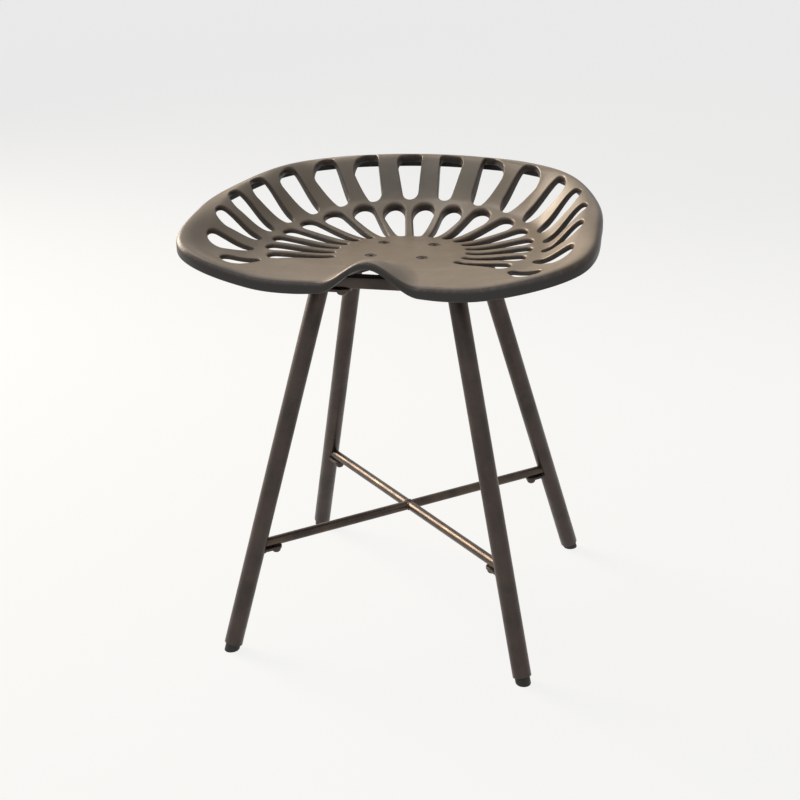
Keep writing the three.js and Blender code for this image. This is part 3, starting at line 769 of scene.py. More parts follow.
def outer_slot(shape, i, step):
    """A slot drawn on the unrolled dish, so that its ends stay round where the dish is steep."""
    forward = i / (len(OUTER_ENDS) - 1)
    tip_radius = lerp(*OUTER_TIP_RADII, forward)
    start, bearing, stop = slot_cell(OUTER_ENDS, i)
    tip_bearing = math.radians(OUTER_TIPS[i])
    pitch = (spot(start, shape.shoulder(start)) - spot(stop, shape.shoulder(stop))).length
    foot = spot(tip_bearing, shape.web(tip_bearing, 1))
    head = spot(bearing, shape.shoulder(bearing) - OUTER_RIM_CLEARANCE)
    pairs = unrolled(shape, foot, head)
    half_width = max(lerp(*OUTER_WIDTHS, forward) * pitch / 2, tip_radius)
    corner = max(OUTER_LEAST_CORNER, lerp(*OUTER_CORNERS, min(2 * forward, 1)) * half_width)
    tip, end = Vector((tip_radius, 0)), Vector((pairs[-1][0] - corner, 0))
    flat = slot_path(tip, tip_radius, end, corner, half_width - corner, step)
    along = (head - foot).normalized()
    across = Vector((-along.y, along.x))
    path = []
    for point, normal in flat:
        k = next(n for n in range(1, len(pairs)) if pairs[n][0] >= point.x or n + 1 == len(pairs))
        (near, covered), (far, ahead) = pairs[k - 1], pairs[k]
        steepness = (far - near) / (ahead - covered)
        place = foot + along * (covered + (point.x - near) / steepness) + across * point.y
        path.append((place, (along * normal.x * steepness + across * normal.y).normalized()))
    return path


def inner_slot(shape, i, step):
    """A slot that widens from the flat middle to the web, one bar away from its neighbours."""
    start, bearing, stop = slot_cell(INNER_ENDS, i)
    widest = shape.web(bearing, -1)
    radius = (widest * (stop - start) - INNER_BAR) / (2 + stop - start)
    tip_reach = shape.plate_radius + INNER_TIP_RADIUS
    tip = spot(math.radians(i * INNER_TIP_STEP), tip_reach) - Vector((0, shape.plate_shift))
    return slot_path(tip, INNER_TIP_RADIUS, spot(bearing, widest - radius), radius, 0, step)


def mirrored(path):
    return [(Vector((-p.x, p.y)), Vector((-n.x, n.y))) for p, n in reversed(path)]


def slot_paths(shape, step):
    """All slots, counter-clockwise: both sides, and the one on the centre line once."""
    paths = []
    for i in range(len(OUTER_ENDS)):
        path = outer_slot(shape, i, step)
        paths.extend([path, mirrored(path)])
    for i in range(len(INNER_ENDS)):
        path = inner_slot(shape, i, step)
        paths.extend([path] if i == 0 else [path, mirrored(path)])
    return paths


def hole_paths(screws, radius, count=32):
    """Points and outward normals round the four screw holes."""
    normals = spokes(Vector((1, 0)), Vector((0, 1)), count)
    paths = []
    for side_x, side_y in CORNERS:
        centre = Vector((side_x * screws.half_pitch_x, side_y * screws.half_pitch_y))
        paths.append([(centre + radius * normal, normal) for normal in normals])
    return paths


class Shell:
    """Points and faces of the casting in the making, with how much copper and how much of the lighter top
    colour each point gets. The copper is partly wear and partly a painted highlight; the dark colour that
    stands where the top colour doesn't is partly a finish left without brushing and partly painted shade.
    """

    def __init__(self):
        self.points, self.faces, self.rubs, self.brushed = [], [], [], []

    def ring(self, places, rub=0.0, brushed=0.0):
        start = len(self.points)
        self.points.extend(places)
        self.rubs.extend([rub] * (len(self.points) - start))
        self.brushed.extend([brushed] * (len(self.points) - start))
        return list(range(start, len(self.points)))

    def strip(self, near, far):
        for i in range(len(near)):
            j = (i + 1) % len(near)
            self.faces.append((near[i], near[j], far[j], far[i]))


def rounded_rings(shell, path, surface, radius, sign, steps, margin=0, rub=0.0, brushed=0.0):
    """Rings over a rounded edge, from the wall outwards onto the surface; sign is 1 on top, -1 below."""
    fading = 0.7
    rings = []
    for i, angle in enumerate(quarter_turn(steps)):
        away, fall = radius * (1 - math.cos(angle)), radius * (1 - math.sin(angle))
        places = []
        for point, normal in path:
            place = point + away * normal
            places.append((place.x, place.y, surface(*place) - sign * fall))
        # Copper fades from the edge onto the surface, and the dark colour at the wall, partly finish left
        # without brushing and partly painted shade, gives way to the lighter top.
        rings.append(shell.ring(places, rub * (1 - i / steps) ** fading, brushed * i / steps))
    if margin > 0:
        plan = [point + (radius + margin) * normal for point, normal in path]
        rings.append(shell.ring(laid(plan, surface), 0.0, brushed))
    for near, far in zip(rings, rings[1:]):
        shell.strip(near, far)
    return rings


def sheet(shell, surface, loops, boundary, reach_limit, step, brushed=0.0):
    """Fills a surface between its boundary and the loops round its openings."""
    grid_reach, opening_reach = 0.23, 0.03
    rim_gap, loop_gap = 0.6 * step, 0.65 * step
    row_spacing = step * math.sqrt(0.75)
    plan = [Vector(shell.points[i][:2]) for i in boundary]
    owners = [-1] * len(boundary)
    indices = list(boundary)
    edges = [(i, (i + 1) % len(boundary)) for i in range(len(boundary))]
    tree = kdtree.KDTree(sum(len(loop) for loop in loops))
    outward = []
    for k, loop in enumerate(loops):
        start = len(plan)
        for i, index in enumerate(loop):
            here = Vector(shell.points[index][:2])
            ahead = Vector(shell.points[loop[(i + 1) % len(loop)]][:2])
            behind = Vector(shell.points[loop[i - 1]][:2])
            along = (ahead - behind).normalized()
            tree.insert((here.x, here.y, 0), len(outward))
            outward.append((here, Vector((along.y, -along.x))))
            plan.append(here)
            owners.append(k)
            indices.append(index)
            edges.append((start + i, start + (i + 1) % len(loop)))
    tree.balance()
    fresh = []
    half = int(grid_reach / step)
    for row in range(-half, half + 1):
        for column in range(-half, half + 1):
            place = Vector(((column + 0.5 * (row % 2)) * step, row * row_spacing))
            if place.length > reach_limit(math.atan2(place.x, place.y)) - rim_gap:
                continue
            _, nearest, distance = tree.find((place.x, place.y, 0))
            here, normal = outward[nearest]
            in_opening = (place - here).dot(normal) < 0 and distance < opening_reach
            if in_opening or distance < loop_gap:
                continue
            fresh.append(place)
    inner = shell.ring(laid(fresh, surface), 0.0, brushed)
    plan.extend(fresh)
    owners.extend([-2] * len(fresh))
    indices.extend(inner)
    _, _, triangles, origins, _, _ = delaunay_2d_cdt(plan, edges, [], 0, SAME_PLACE)
    for triangle in triangles:
        corners = [origins[i][0] for i in triangle]
        kinds = {owners[i] for i in corners}
        if len(kinds) == 1 and min(kinds) >= 0:
            continue
        if kinds == {-1}:
            middle = sum((plan[i] for i in corners), Vector((0, 0))) / 3
            if middle.length > reach_limit(math.atan2(middle.x, middle.y)):
                continue
        shell.faces.append(tuple(indices[i] for i in corners))


def rolled_rim(shell, shape, step):
    """Makes the rim from its crest over the lip and in again, and gives its first and last ring."""
    # The crest is a little darker than the top and the colour darkens down the lip, partly finish left
    # without brushing and partly painted shade; the roll carries a painted highlight line in copper, with
    # less copper at the lip's lower edge.
    mean_radius, crest_brushed = 0.19, 0.8
    lip_rub, lip_brushed, brushed_fall = 0.45, 0.6, 0.3
    rim_step = 1.1 * step
    count = 2 * math.ceil(math.pi * mean_radius / rim_step)
    bearings = [2 * math.pi * i / count - math.pi for i in range(count)]
    crest = laid([spot(b, shape.crest(b)) for b in bearings], shape.top)
    rim_top = ring = shell.ring(crest, 0.0, crest_brushed)
    sections = [shape.lip(b) for b in bearings]
    for k in range(len(sections[0])):
        places = [(*spot(b, s[k][0]), s[k][1]) for b, s in zip(bearings, sections)]
        rub, brushed = lip_rub * sections[0][k][2], max(0.0, lip_brushed - brushed_fall * k)
        lower = shell.ring(places, rub, brushed)
        shell.strip(ring, lower)
        ring = lower
    rim_under = shell.ring(laid([spot(b, shape.inside(b)) for b in bearings], shape.under))
    shell.strip(ring, rim_under)
    return rim_top, rim_under


def slot_edges(shell, shape, roundings, step):
    """Cuts the slots, and gives their loops on the top and on the underside."""
    margin, wall_drop, under_rounding = 0.2 * MM, 1.2 * MM, 0.9 * MM
    edge_rub, wall_rub, edge_brushed = 0.6, 0.3, 1.0
    path_step, top_steps, under_steps = 0.6 * step, 5, 2
    top_loops, under_loops = [], []
    for k, path in enumerate(slot_paths(shape, path_step)):
        rounding = roundings[0 if k < 2 * len(OUTER_ENDS) else 1]
        upper = rounded_rings(shell, path, shape.top, rounding, 1, top_steps, margin, edge_rub, edge_brushed)
        wall_top = [shell.points[i] for i in upper[0]]
        # The slot wall keeps the dark colour, partly finish left without brushing and partly painted shade
        # inside the slot.
        wall = shell.ring([(x, y, z - wall_drop) for x, y, z in wall_top], wall_rub)
        shell.strip(wall, upper[0])
        lower = rounded_rings(shell, path, shape.under, under_rounding, -1, under_steps)
        shell.strip(lower[0], wall)
        top_loops.append(upper[-1])
        under_loops.append(lower[-1])
    return top_loops, under_loops


def screw_holes(shell, shape, screws):
    """Cuts the countersunk holes, and gives their loops on the top and on the underside."""
    clearance, rounding, margin = 0.3 * MM, 0.3 * MM, 0.2 * MM
    steps, edge_rub, edge_brushed = 3, 0.5, 1.0
    head, shank = screws.head_radius + clearance, screws.radius + clearance
    seat = shape.height - clearance
    top_loops, under_loops = [], []
    for wide, narrow in zip(hole_paths(screws, head), hole_paths(screws, shank)):
        upper = rounded_rings(shell, wide, shape.top, rounding, 1, steps, margin, edge_rub, edge_brushed)
        # The countersink keeps the dark colour, partly finish left without brushing and partly painted shade
        # in the recess.
        rim = shell.ring([(p.x, p.y, seat) for p, _ in wide])
        cone = shell.ring([(p.x, p.y, seat - (head - shank)) for p, _ in narrow])
        foot = shell.ring(laid([p for p, _ in narrow], shape.under))
        for near, far in ((upper[0], rim), (rim, cone), (cone, foot)):
            shell.strip(near, far)
        top_loops.append(upper[-1])
        under_loops.append(foot)
    return top_loops, under_loops


def seat_shell(shape, screws, roundings, step):
    """The casting as one closed shell: rolled rim, slots, screw holes, dish and underside."""
    shell = Shell()
    under_step = 1.8 * step
    rim_top, rim_under = rolled_rim(shell, shape, step)
    slot_tops, slot_unders = slot_edges(shell, shape, roundings, step)
    hole_tops, hole_unders = screw_holes(shell, shape, screws)
    # The top takes the lighter colour; the underside keeps the dark one, partly finish left without brushing
    # and partly painted shade under the seat.
    sheet(shell, shape.top, slot_tops + hole_tops, rim_top, shape.crest, step, brushed=1.0)
    sheet(shell, shape.under, slot_unders + hole_unders, rim_under, shape.inside, under_step)
    return shell


class STOOL_OT_seat_casting(bpy.types.Operator):
    """Makes the cast seat with its slots, pommel and rolled rim"""

    bl_idname = "stool.seat_casting"
    bl_label = "Cast seat"

    def execute(self, context):
        sizes = settings()
        shape = SeatShape(sizes.seat)
        roundings = sizes.seat.slot_rounding, sizes.seat.bar_rounding
        shell = seat_shell(shape, sizes.screws, roundings, sizes.seat.mesh_step)
        finish, crease = shared("cast", cast_bronze), math.radians(75)
        piece = made("cast_seat", shell.points, shell.faces, finish, crease)
        # Masks for the finish: rub is copper wear plus a painted highlight along the rim's roll; brushed is
        # the lighter top as against the dark colour, partly unbrushed finish and partly painted shade.
        for name, values in (("rub", shell.rubs), ("brushed", shell.brushed)):
            piece.data.attributes.new(name, "FLOAT", "POINT").data.foreach_set("value", values)
        finished(piece, "casting", "seat_casting")
        return {"FINISHED"}


# Geometry Nodes for what repeats

def tree_for(name, inputs):
    """A geometry tree with a material input, its inputs and its output."""
    sockets = [("Geometry", "NodeSocketGeometry", None), *inputs, ("Material", "NodeSocketMaterial", None)]
    return group(name, "GeometryNodeTree", sockets, [("Geometry", "NodeSocketGeometry", None)])


def close_tree(tree, given, out, geometry):
    """Ends a tree in real geometry with its material."""
    shaded = add(tree, "GeometryNodeSetShadeSmooth", {"Geometry": geometry})
    real = add(tree, "GeometryNodeRealizeInstances", {"Geometry": shaded.outputs[0]})
    links = {"Geometry": real.outputs[0], "Material": given["Material"]}
    painted = add(tree, "GeometryNodeSetMaterial", links)
    feed(tree, out, {"Geometry": painted.outputs[0]})
    return tree


def grown(name, tree, values, base=None, crease=math.radians(35)):
    """A plain mesh piece from a geometry tree with its named inputs set."""
    carrier = linked(name + "_carrier", base or bpy.data.meshes.new(name + "_carrier"))
    modifier = carrier.modifiers.new("Grow", "NODES")
    modifier.node_group = tree
    sockets = {item.name: item.identifier for item in tree.interface.items_tree if item.in_out == "INPUT"}
    for label, value in values.items():
        modifier[sockets[label]] = value
    shown = bpy.context.evaluated_depsgraph_get()
    shown.update()
    mesh = bpy.data.meshes.new_from_object(carrier.evaluated_get(shown))
    carrier.modifiers.clear()
    bpy.data.objects.remove(carrier)
    if not mesh.polygons:
        raise RuntimeError(f"{name} came out empty")
    mesh.name = name
    mesh.set_sharp_from_angle(angle=crease)
    return linked(name, mesh)


def moved(tree, geometry, **links):
    return add(tree, "GeometryNodeTransform", {"Geometry": geometry, **links}).outputs[0]


def round_a_circle(tree, sides, radius, profile):
    """A profile carried round a circle."""
    circle = add(tree, "GeometryNodeCurvePrimitiveCircle", {"Resolution": sides, "Radius": radius})
    links = {"Curve": circle.outputs[0], "Profile Curve": profile}
    return add(tree, "GeometryNodeCurveToMesh", links).outputs[0]


def turned_about_z(tree, lines, sides=40):
    """A solid of revolution from curve pieces whose X is a radius and whose Y is a height."""
    hub, merge_distance = 0.02, 1e-6
    profile = add(tree, "GeometryNodeJoinGeometry", {0: lines}).outputs[0]
    swept = round_a_circle(tree, sides, hub, moved(tree, profile, Translation=(-hub, 0, 0)))
    links = {"Geometry": moved(tree, swept, Rotation=(math.pi, 0, 0)), "Distance": merge_distance}
    return add(tree, "GeometryNodeMergeByDistance", links).outputs[0]


def lines_through(tree, corners):
    """Straight curve pieces from corner to corner of a profile."""
    pieces = []
    for start, end in zip(corners, corners[1:]):
        ends = {"Start": combined(tree, *start), "End": combined(tree, *end)}
        pieces.append(add(tree, "GeometryNodeCurvePrimitiveLine", ends).outputs[0])
    return pieces


def at_corners(tree, given, geometry):
    """Copies at the four corners of a rectangle, at one height, each turned at random about its axis."""
    size_x, size_y = (maths(tree, "MULTIPLY", given[f"Half pitch {way}"], 2.0) for way in "XY")
    sizes = {"Size X": size_x, "Size Y": size_y, "Vertices X": 2, "Vertices Y": 2}
    grid = add(tree, "GeometryNodeMeshGrid", sizes).outputs[0]
    least, most, drawn = 2, 3, 1
    turn = add(tree, "FunctionNodeRandomValue", {least: 0.0, most: 1.0, "Seed": 7}).outputs[drawn]
    links = {
        "Points": moved(tree, grid, Translation=combined(tree, z=given["Height"])),
        "Instance": geometry,
        "Rotation": combined(tree, z=maths(tree, "MULTIPLY", turn, 2 * math.pi)),
    }
    return add(tree, "GeometryNodeInstanceOnPoints", links).outputs[0]


PATTERN = [
    ("Half pitch X", FLOAT, 0.03),
    ("Half pitch Y", FLOAT, 0.03),
    ("Height", FLOAT, 0.0),
    ("Shank radius", FLOAT, 0.003),
    ("Shank length", FLOAT, 0.01),
    ("Head radius", FLOAT, 0.006),
    ("Head height", FLOAT, 0.005),
    ("Socket radius", FLOAT, 0.003),
    ("Socket depth", FLOAT, 0.002),
]


def socketed(tree, given, body, face):
    """A body with a hexagonal socket cut into the face that lies at a height."""
    depth = maths(tree, "MULTIPLY", given["Socket depth"], 2.0)
    sizes = {"Vertices": 6, "Radius": given["Socket radius"], "Depth": depth}
    key = add(tree, "GeometryNodeMeshCylinder", sizes).outputs[0]
    links = {"Mesh 1": body, "Mesh 2": moved(tree, key, Translation=combined(tree, z=face))}
    return add(tree, "GeometryNodeMeshBoolean", links, operation="DIFFERENCE").outputs[0]


def domed_bolts():
    """Domed bolts, head down, whose bearing faces are at the pattern's height."""
    washers = [("Washer radius", FLOAT, 0.006), ("Washer height", FLOAT, 0.0008)]
    tree, given, out = tree_for("Domed bolts", [*PATTERN, *washers])
    skirt_share, chamfer = 0.15, 0.0003
    head, washer, shank = given["Head radius"], given["Washer radius"], given["Shank radius"]
    length = given["Shank length"]
    under = maths(tree, "MULTIPLY", given["Washer height"], -1.0)
    low = maths(tree, "MULTIPLY", given["Head height"], -1.0)
    skirt = maths(tree, "SUBTRACT", under, maths(tree, "MULTIPLY", given["Head height"], skirt_share))
    quarter = {"Resolution": 12, "Radius": 1.0, "Start Angle": -math.pi / 2, "Sweep Angle": math.pi / 2}
    dome = moved(
        tree,
        add(tree, "GeometryNodeCurveArc", quarter).outputs[0],
        Scale=combined(tree, head, maths(tree, "SUBTRACT", skirt, low), 1.0),
        Translation=combined(tree, y=skirt),
    )
    edge = maths(tree, "SUBTRACT", washer, chamfer)
    washer_low = maths(tree, "ADD", under, chamfer)
    corners = [(head, skirt), (head, under), (edge, under), (washer, washer_low)]
    corners += [(washer, 0.0), (shank, 0.0), (shank, length), (0.0, length)]
    body = turned_about_z(tree, [dome, *lines_through(tree, corners)])
    return close_tree(tree, given, out, at_corners(tree, given, socketed(tree, given, body, low)))


def countersunk_screws():
    """Countersunk screws whose heads lie at the pattern's height."""
    tree, given, out = tree_for("Countersunk screws", PATTERN)
    bevel_width, bevel_height = 0.0004, 0.0003
    head, shank = given["Head radius"], given["Shank radius"]
    cone = maths(tree, "MULTIPLY", given["Head height"], -1.0)
    foot = maths(tree, "MULTIPLY", given["Shank length"], -1.0)
    bevel = maths(tree, "SUBTRACT", head, bevel_width)
    corners = [(0.0, 0.0), (bevel, 0.0), (head, -bevel_height), (shank, cone), (shank, foot), (0.0, foot)]
    body = turned_about_z(tree, lines_through(tree, corners))
    return close_tree(tree, given, out, at_corners(tree, given, socketed(tree, given, body, 0.0)))


class STOOL_OT_seat_screws(bpy.types.Operator):
    """Makes the four countersunk screws in the flat middle of the seat"""

    bl_idname = "stool.seat_screws"
    bl_label = "Seat screws"

    def execute(self, context):
        screws = settings().screws
        sunk = 0.35 * MM
        names = [f"seat_screw_{corner_name(*corner)}" for corner in CORNERS]
        low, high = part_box(names[0])
        values = {
            "Half pitch X": screws.half_pitch_x,
            "Half pitch Y": screws.half_pitch_y,
            "Height": high.z - sunk,
            "Shank radius": screws.radius,
            "Shank length": high.z - low.z - sunk,
            "Head radius": screws.head_radius,
            "Head height": screws.head_radius - screws.radius,
            "Socket radius": screws.socket_radius,
            "Socket depth": 2 * MM,
            "Material": shared("bolt", bolt_finish),
        }
        finished(grown("seat_screws", countersunk_screws(), values), "fastener", *names)
        return {"FINISHED"}


# Sub-frame

def square_tube(low, high, axis, sizes):
    """A square tube between two corners, open at both ends along an axis."""
    half, middle = (high - low) / 2, (low + high) / 2
    across = [k for k in range(3) if k != axis]
    outer = rounded_outline(half[across[0]], half[across[1]], sizes.corner)
    bore = inset(outer, sizes.rail_wall)
    chamfer = 0.35 * MM
    stations = [
        (outer, -half[axis] + chamfer),
        (outer, half[axis] - chamfer),
        (inset(outer, chamfer), half[axis]),
        (bore, half[axis]),
        (bore, -half[axis]),
        (inset(outer, chamfer), -half[axis]),
    ]
    rings = []
    for outline, along in stations:
        ring = []
        for point in outline:
            place = middle.copy()
            place[axis] += along
            place[across[0]] += point.x
            place[across[1]] += point.y
            ring.append(place)
        rings.append(ring)
    return loft(rings, cyclic=True)


class STOOL_OT_rails(bpy.types.Operator):
    """Makes the four square tube rails under the seat"""

    bl_idname = "stool.rails"
    bl_label = "Rails"

    def execute(self, context):
        sizes = settings().frame
        for name, axis in (("front_rail", 0), ("rear_rail", 0), ("left_rail", 1), ("right_rail", 1)):
            points, faces = square_tube(*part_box(name), axis, sizes)
            finished(made(name + "_tube", points, faces, shared("tube", tube_bronze)), "bronze_tube", name)
        return {"FINISHED"}


def tab_outline(far_x, near_x, half_width, steps=16):
    """A tab with a square end at far_x and a round one about near_x, counter-clockwise."""
    outline = [Vector((far_x, -half_width)), Vector((far_x, half_width))]
    for i in range(steps + 1):
        angle = math.pi / 2 + math.pi * i / steps
        outline.append(Vector((near_x + half_width * math.cos(angle), half_width * math.sin(angle))))
    return outline


def leg_ends(side, end):
    """Foot and head of a leg's axis."""
    legs, sizes = settings().legs, settings().frame
    head_inset, weld_gap = 10 * MM, 0.3 * MM
    foot = Vector((side * legs.foot_x, end * legs.foot_y, 0))
    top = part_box(f"leg_tab_{corner_name(side, end)}")[0].z - weld_gap
    head_x, head_y = sizes.half_width - head_inset, sizes.half_depth - sizes.rail / 2
    return foot, Vector((side * head_x, end * head_y, top))


def leg_axes(side, end):
    """Foot and head of a leg, its direction, and two directions square to it."""
    foot, head = leg_ends(side, end)
    axis = (head - foot).normalized()
    turn = axis.to_track_quat("Z", "Y").to_matrix()
    return foot, head, axis, turn.col[0], turn.col[1]


def tube_end(foot, head):
    """Lower end of a leg's tube, above the floor by the height of its glide."""
    return foot.lerp(head, settings().legs.end_height / head.z)


class STOOL_OT_leg_tabs(bpy.types.Operator):
    """Makes the flat tabs on top of the legs, and finishes the centre plate"""

    bl_idname = "stool.leg_tabs"
    bl_label = "Leg tabs"

    def execute(self, context):
        finish = shared("tube", tube_bronze)
        rounding = 0.5 * MM
        for side, end in CORNERS:
            name = f"leg_tab_{corner_name(side, end)}"
            low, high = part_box(name)
            half_width = (high.y - low.y) / 2
            far, near = max(abs(low.x), abs(high.x)), min(abs(low.x), abs(high.x)) + half_width
            middle = (low.y + high.y) / 2
            outline = [Vector((side * p.x, p.y + middle)) for p in tab_outline(far, near, half_width)]
            if side < 0:
                outline.reverse()
            points, faces = slab(outline, low.z, high.z, rounding)
            finished(made(name + "_plate", points, faces, finish), "bronze_tube", name)
        for slot in frame["nodes"]["centre_plate"].material_slots:
            slot.material = finish
        return {"FINISHED"}


# Legs

def leg_tube():
    """A round tube from a foot to a head, square at the foot and level at the head."""
    inputs = [
        ("Foot", VECTOR, None),
        ("Head", VECTOR, None),
        ("Radius", FLOAT, 0.0095),
        ("Wall", FLOAT, 0.0015),
        ("Edge rounding", FLOAT, 0.0004),
        ("Sides", "NodeSocketInt", 48),
    ]
    tree, given, out = tree_for("Leg tube", inputs)
    along = vectors(tree, "SUBTRACT", given["Head"], given["Foot"])
    axis = vectors(tree, "NORMALIZE", along)
    middle = vectors(tree, "MULTIPLY", vectors(tree, "ADD", given["Head"], given["Foot"]), (0.5, 0.5, 0.5))
    wall = {"Width": given["Wall"], "Height": vectors(tree, "LENGTH", along)}
    section = add(tree, "GeometryNodeCurvePrimitiveQuadrilateral", wall)
    fillet = {"Curve": section.outputs[0], "Radius": given["Edge rounding"], "Count": 3}
    rounded = add(tree, "GeometryNodeFilletCurve", fillet, mode="POLY")
    mean = maths(tree, "SUBTRACT", given["Radius"], maths(tree, "MULTIPLY", given["Wall"], 0.5))
    upright = round_a_circle(tree, given["Sides"], mean, rounded.outputs[0])
    aim = add(tree, "FunctionNodeAlignRotationToVector", {"Vector": axis}, axis="Z")
    placed = moved(tree, upright, Rotation=aim.outputs[0], Translation=middle)
    place = tree.nodes.new("GeometryNodeInputPosition").outputs[0]
    from_middle = vectors(tree, "SUBTRACT", place, middle)
    upper = maths(tree, "GREATER_THAN", vectors(tree, "DOT_PRODUCT", from_middle, axis), 0.0)
    to_head = vectors(tree, "SUBTRACT", given["Head"], place)
    lean, gap = (add(tree, "ShaderNodeSeparateXYZ", {"Vector": way}).outputs["Z"] for way in (axis, to_head))
    level = maths(tree, "DIVIDE", gap, lean)
    shift = maths(tree, "SUBTRACT", level, vectors(tree, "DOT_PRODUCT", to_head, axis))
    offset = add(tree, "ShaderNodeVectorMath", {0: axis, "Scale": shift}, operation="SCALE").outputs[0]
    links = {"Geometry": placed, "Selection": upper, "Offset": offset}
    trimmed = add(tree, "GeometryNodeSetPosition", links)
    return close_tree(tree, given, out, trimmed.outputs[0])


class STOOL_OT_legs(bpy.types.Operator):
    """Makes the four splayed tube legs"""

    bl_idname = "stool.legs"
    bl_label = "Legs"

    def execute(self, context):
        legs = settings().legs
        tree = leg_tube()
        for side, end in CORNERS:
            foot, head = leg_ends(side, end)
            name = f"leg_{corner_name(side, end)}"
            values = {
                "Foot": tube_end(foot, head),
                "Head": head,
                "Radius": legs.radius,
                "Wall": legs.wall,
                "Sides": legs.sides,
                "Material": shared("tube", tube_bronze),
            }
            finished(grown(name + "_tube", tree, values), "bronze_tube", name)
        return {"FINISHED"}


# Glide rings: inset from the plug and height above the floor, then distances up the leg from the
# tube's lower end, all in millimetres
GLIDE_FOOT = [(0.9, 0.0), (0.35, 0.25), (0, 0.9)]
GLIDE_PLUG = [-0.6, 8]


class STOOL_OT_glides(bpy.types.Operator):
    """Makes the plastic glides in the feet"""

    bl_idname = "stool.glides"
    bl_label = "Glides"

    def execute(self, context):
        legs = settings().legs
        clearance, count = 0.3 * MM, 40
        radius = legs.radius - legs.wall - clearance
        for side, end in CORNERS:
            name = f"glide_{corner_name(side, end)}"
            foot, head, axis, across, beside = leg_axes(side, end)
            round_axis = spokes(across, beside, count)
            rings = []
            for inset_mm, height_mm in GLIDE_FOOT:
                ring = [(radius - inset_mm * MM) * spoke for spoke in round_axis]
                rings.append([foot + p - axis * (p.z - height_mm * MM) / axis.z for p in ring])
            for along_mm in GLIDE_PLUG:
                ring = [radius * spoke for spoke in round_axis]
                rings.append([tube_end(foot, head) + p + axis * along_mm * MM for p in ring])
            points, faces = loft(rings, caps=True)
            plug = made(name + "_plug", points, faces, shared("glide", glide_plastic))
            finished(plug, "glide_plastic", name)
        return {"FINISHED"}


def bolt_set(kind, sizes):
    """Makes the four domed bolts of the leg tabs or of the brace tabs."""
    names = [f"{kind}_bolt_{corner_name(*corner)}" for corner in CORNERS]
    low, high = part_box(names[0])
    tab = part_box(f"{kind}_tab_front_left")[0].z
    values = {
        "Half pitch X": abs(low.x + high.x) / 2,
        "Half pitch Y": abs(low.y + high.y) / 2,
        "Height": tab,
        "Shank length": high.z - tab,
        "Head height": tab - low.z,
        "Material": shared("bolt", bolt_finish),
        **sizes,
    }
    finished(grown(f"{kind}_bolts", shared("Domed bolts", domed_bolts), values), "fastener", *names)


class STOOL_OT_leg_bolts(bpy.types.Operator):
    """Makes the domed bolts that hold the leg tabs to the rails"""

    bl_idname = "stool.leg_bolts"
    bl_label = "Leg bolts"

    def execute(self, context):
        bolt_set("leg", {
            "Shank radius": 4 * MM,
            "Head radius": 5.7 * MM,
            "Socket radius": 2.6 * MM,
            "Socket depth": 2.4 * MM,
            "Washer radius": 6.6 * MM,
            "Washer height": 0.9 * MM,
        })
        return {"FINISHED"}


# Brace

def leg_meet(place, way, side, end, depth=0.5 * MM):
    """Where a line meets a leg, at a depth below the outside of its tube."""
    foot, head = leg_ends(side, end)
    axis = (head - foot).normalized()
    radius = settings().legs.radius - depth
    start = (place - foot) - axis * (place - foot).dot(axis)
    step = way - axis * way.dot(axis)
    a, b, c = step.dot(step), 2 * start.dot(step), start.dot(start) - radius ** 2
    return place + way * ((-b - math.sqrt(max(b * b - 4 * a * c, 0))) / (2 * a))


def brace_heading(side, end):
    """Direction of a brace arm."""
    foot, head = leg_ends(side, end)
    middle = foot.lerp(head, settings().brace.height / head.z)
    return Vector((middle.x, middle.y, 0)).normalized()


def square_to(heading):
    """The level direction square to another."""
    return Vector((-heading.y, heading.x, 0))


def bar_ring(heading, sizes, count=40):
    """Points round a bar at the middle of the stool."""
    middle = Vector((0, 0, sizes.height))
    return [middle + sizes.radius * spoke for spoke in spokes(square_to(heading), UP, count)]


class STOOL_OT_brace_bars(bpy.types.Operator):
    """Makes the crossed bars of the brace"""

    bl_idname = "stool.brace_bars"
    bl_label = "Brace bars"

    def execute(self, context):
        sizes = settings().brace
        finish = shared("bar", bar_bronze)
        overlap = 0.4 * MM
        through = brace_heading(1, 1)
        cross = square_to(through)
        ring = bar_ring(through, sizes)
        far = [leg_meet(p, through, 1, 1) for p in ring]
        near = [leg_meet(p, -through, -1, -1) for p in ring]
        points, faces = loft([near, ring, far], caps=True)
        finished(made("brace_through_bar", points, faces, finish), "brace_bar", "brace_bar_through")
        for side, end in HALF_BAR_CORNERS:
            arm = brace_heading(side, end)
            ring = bar_ring(arm, sizes)
            starts = []
            for p in ring:
                lift = (p.z - sizes.height) / sizes.radius
                away = sizes.radius * math.sqrt(max(1 - lift * lift, 0)) - overlap
                aside = abs((p - Vector((0, 0, p.z))).dot(cross))
                starts.append(p + arm * (max(away, 0) + aside) / abs(arm.dot(cross)))
            ends = [leg_meet(p, arm, side, end) for p in ring]
            name = f"brace_bar_{corner_name(side, end)}"
            points, faces = loft([starts, ends], caps=True)
            finished(made(name + "_rod", points, faces, finish), "brace_bar", name)
        return {"FINISHED"}


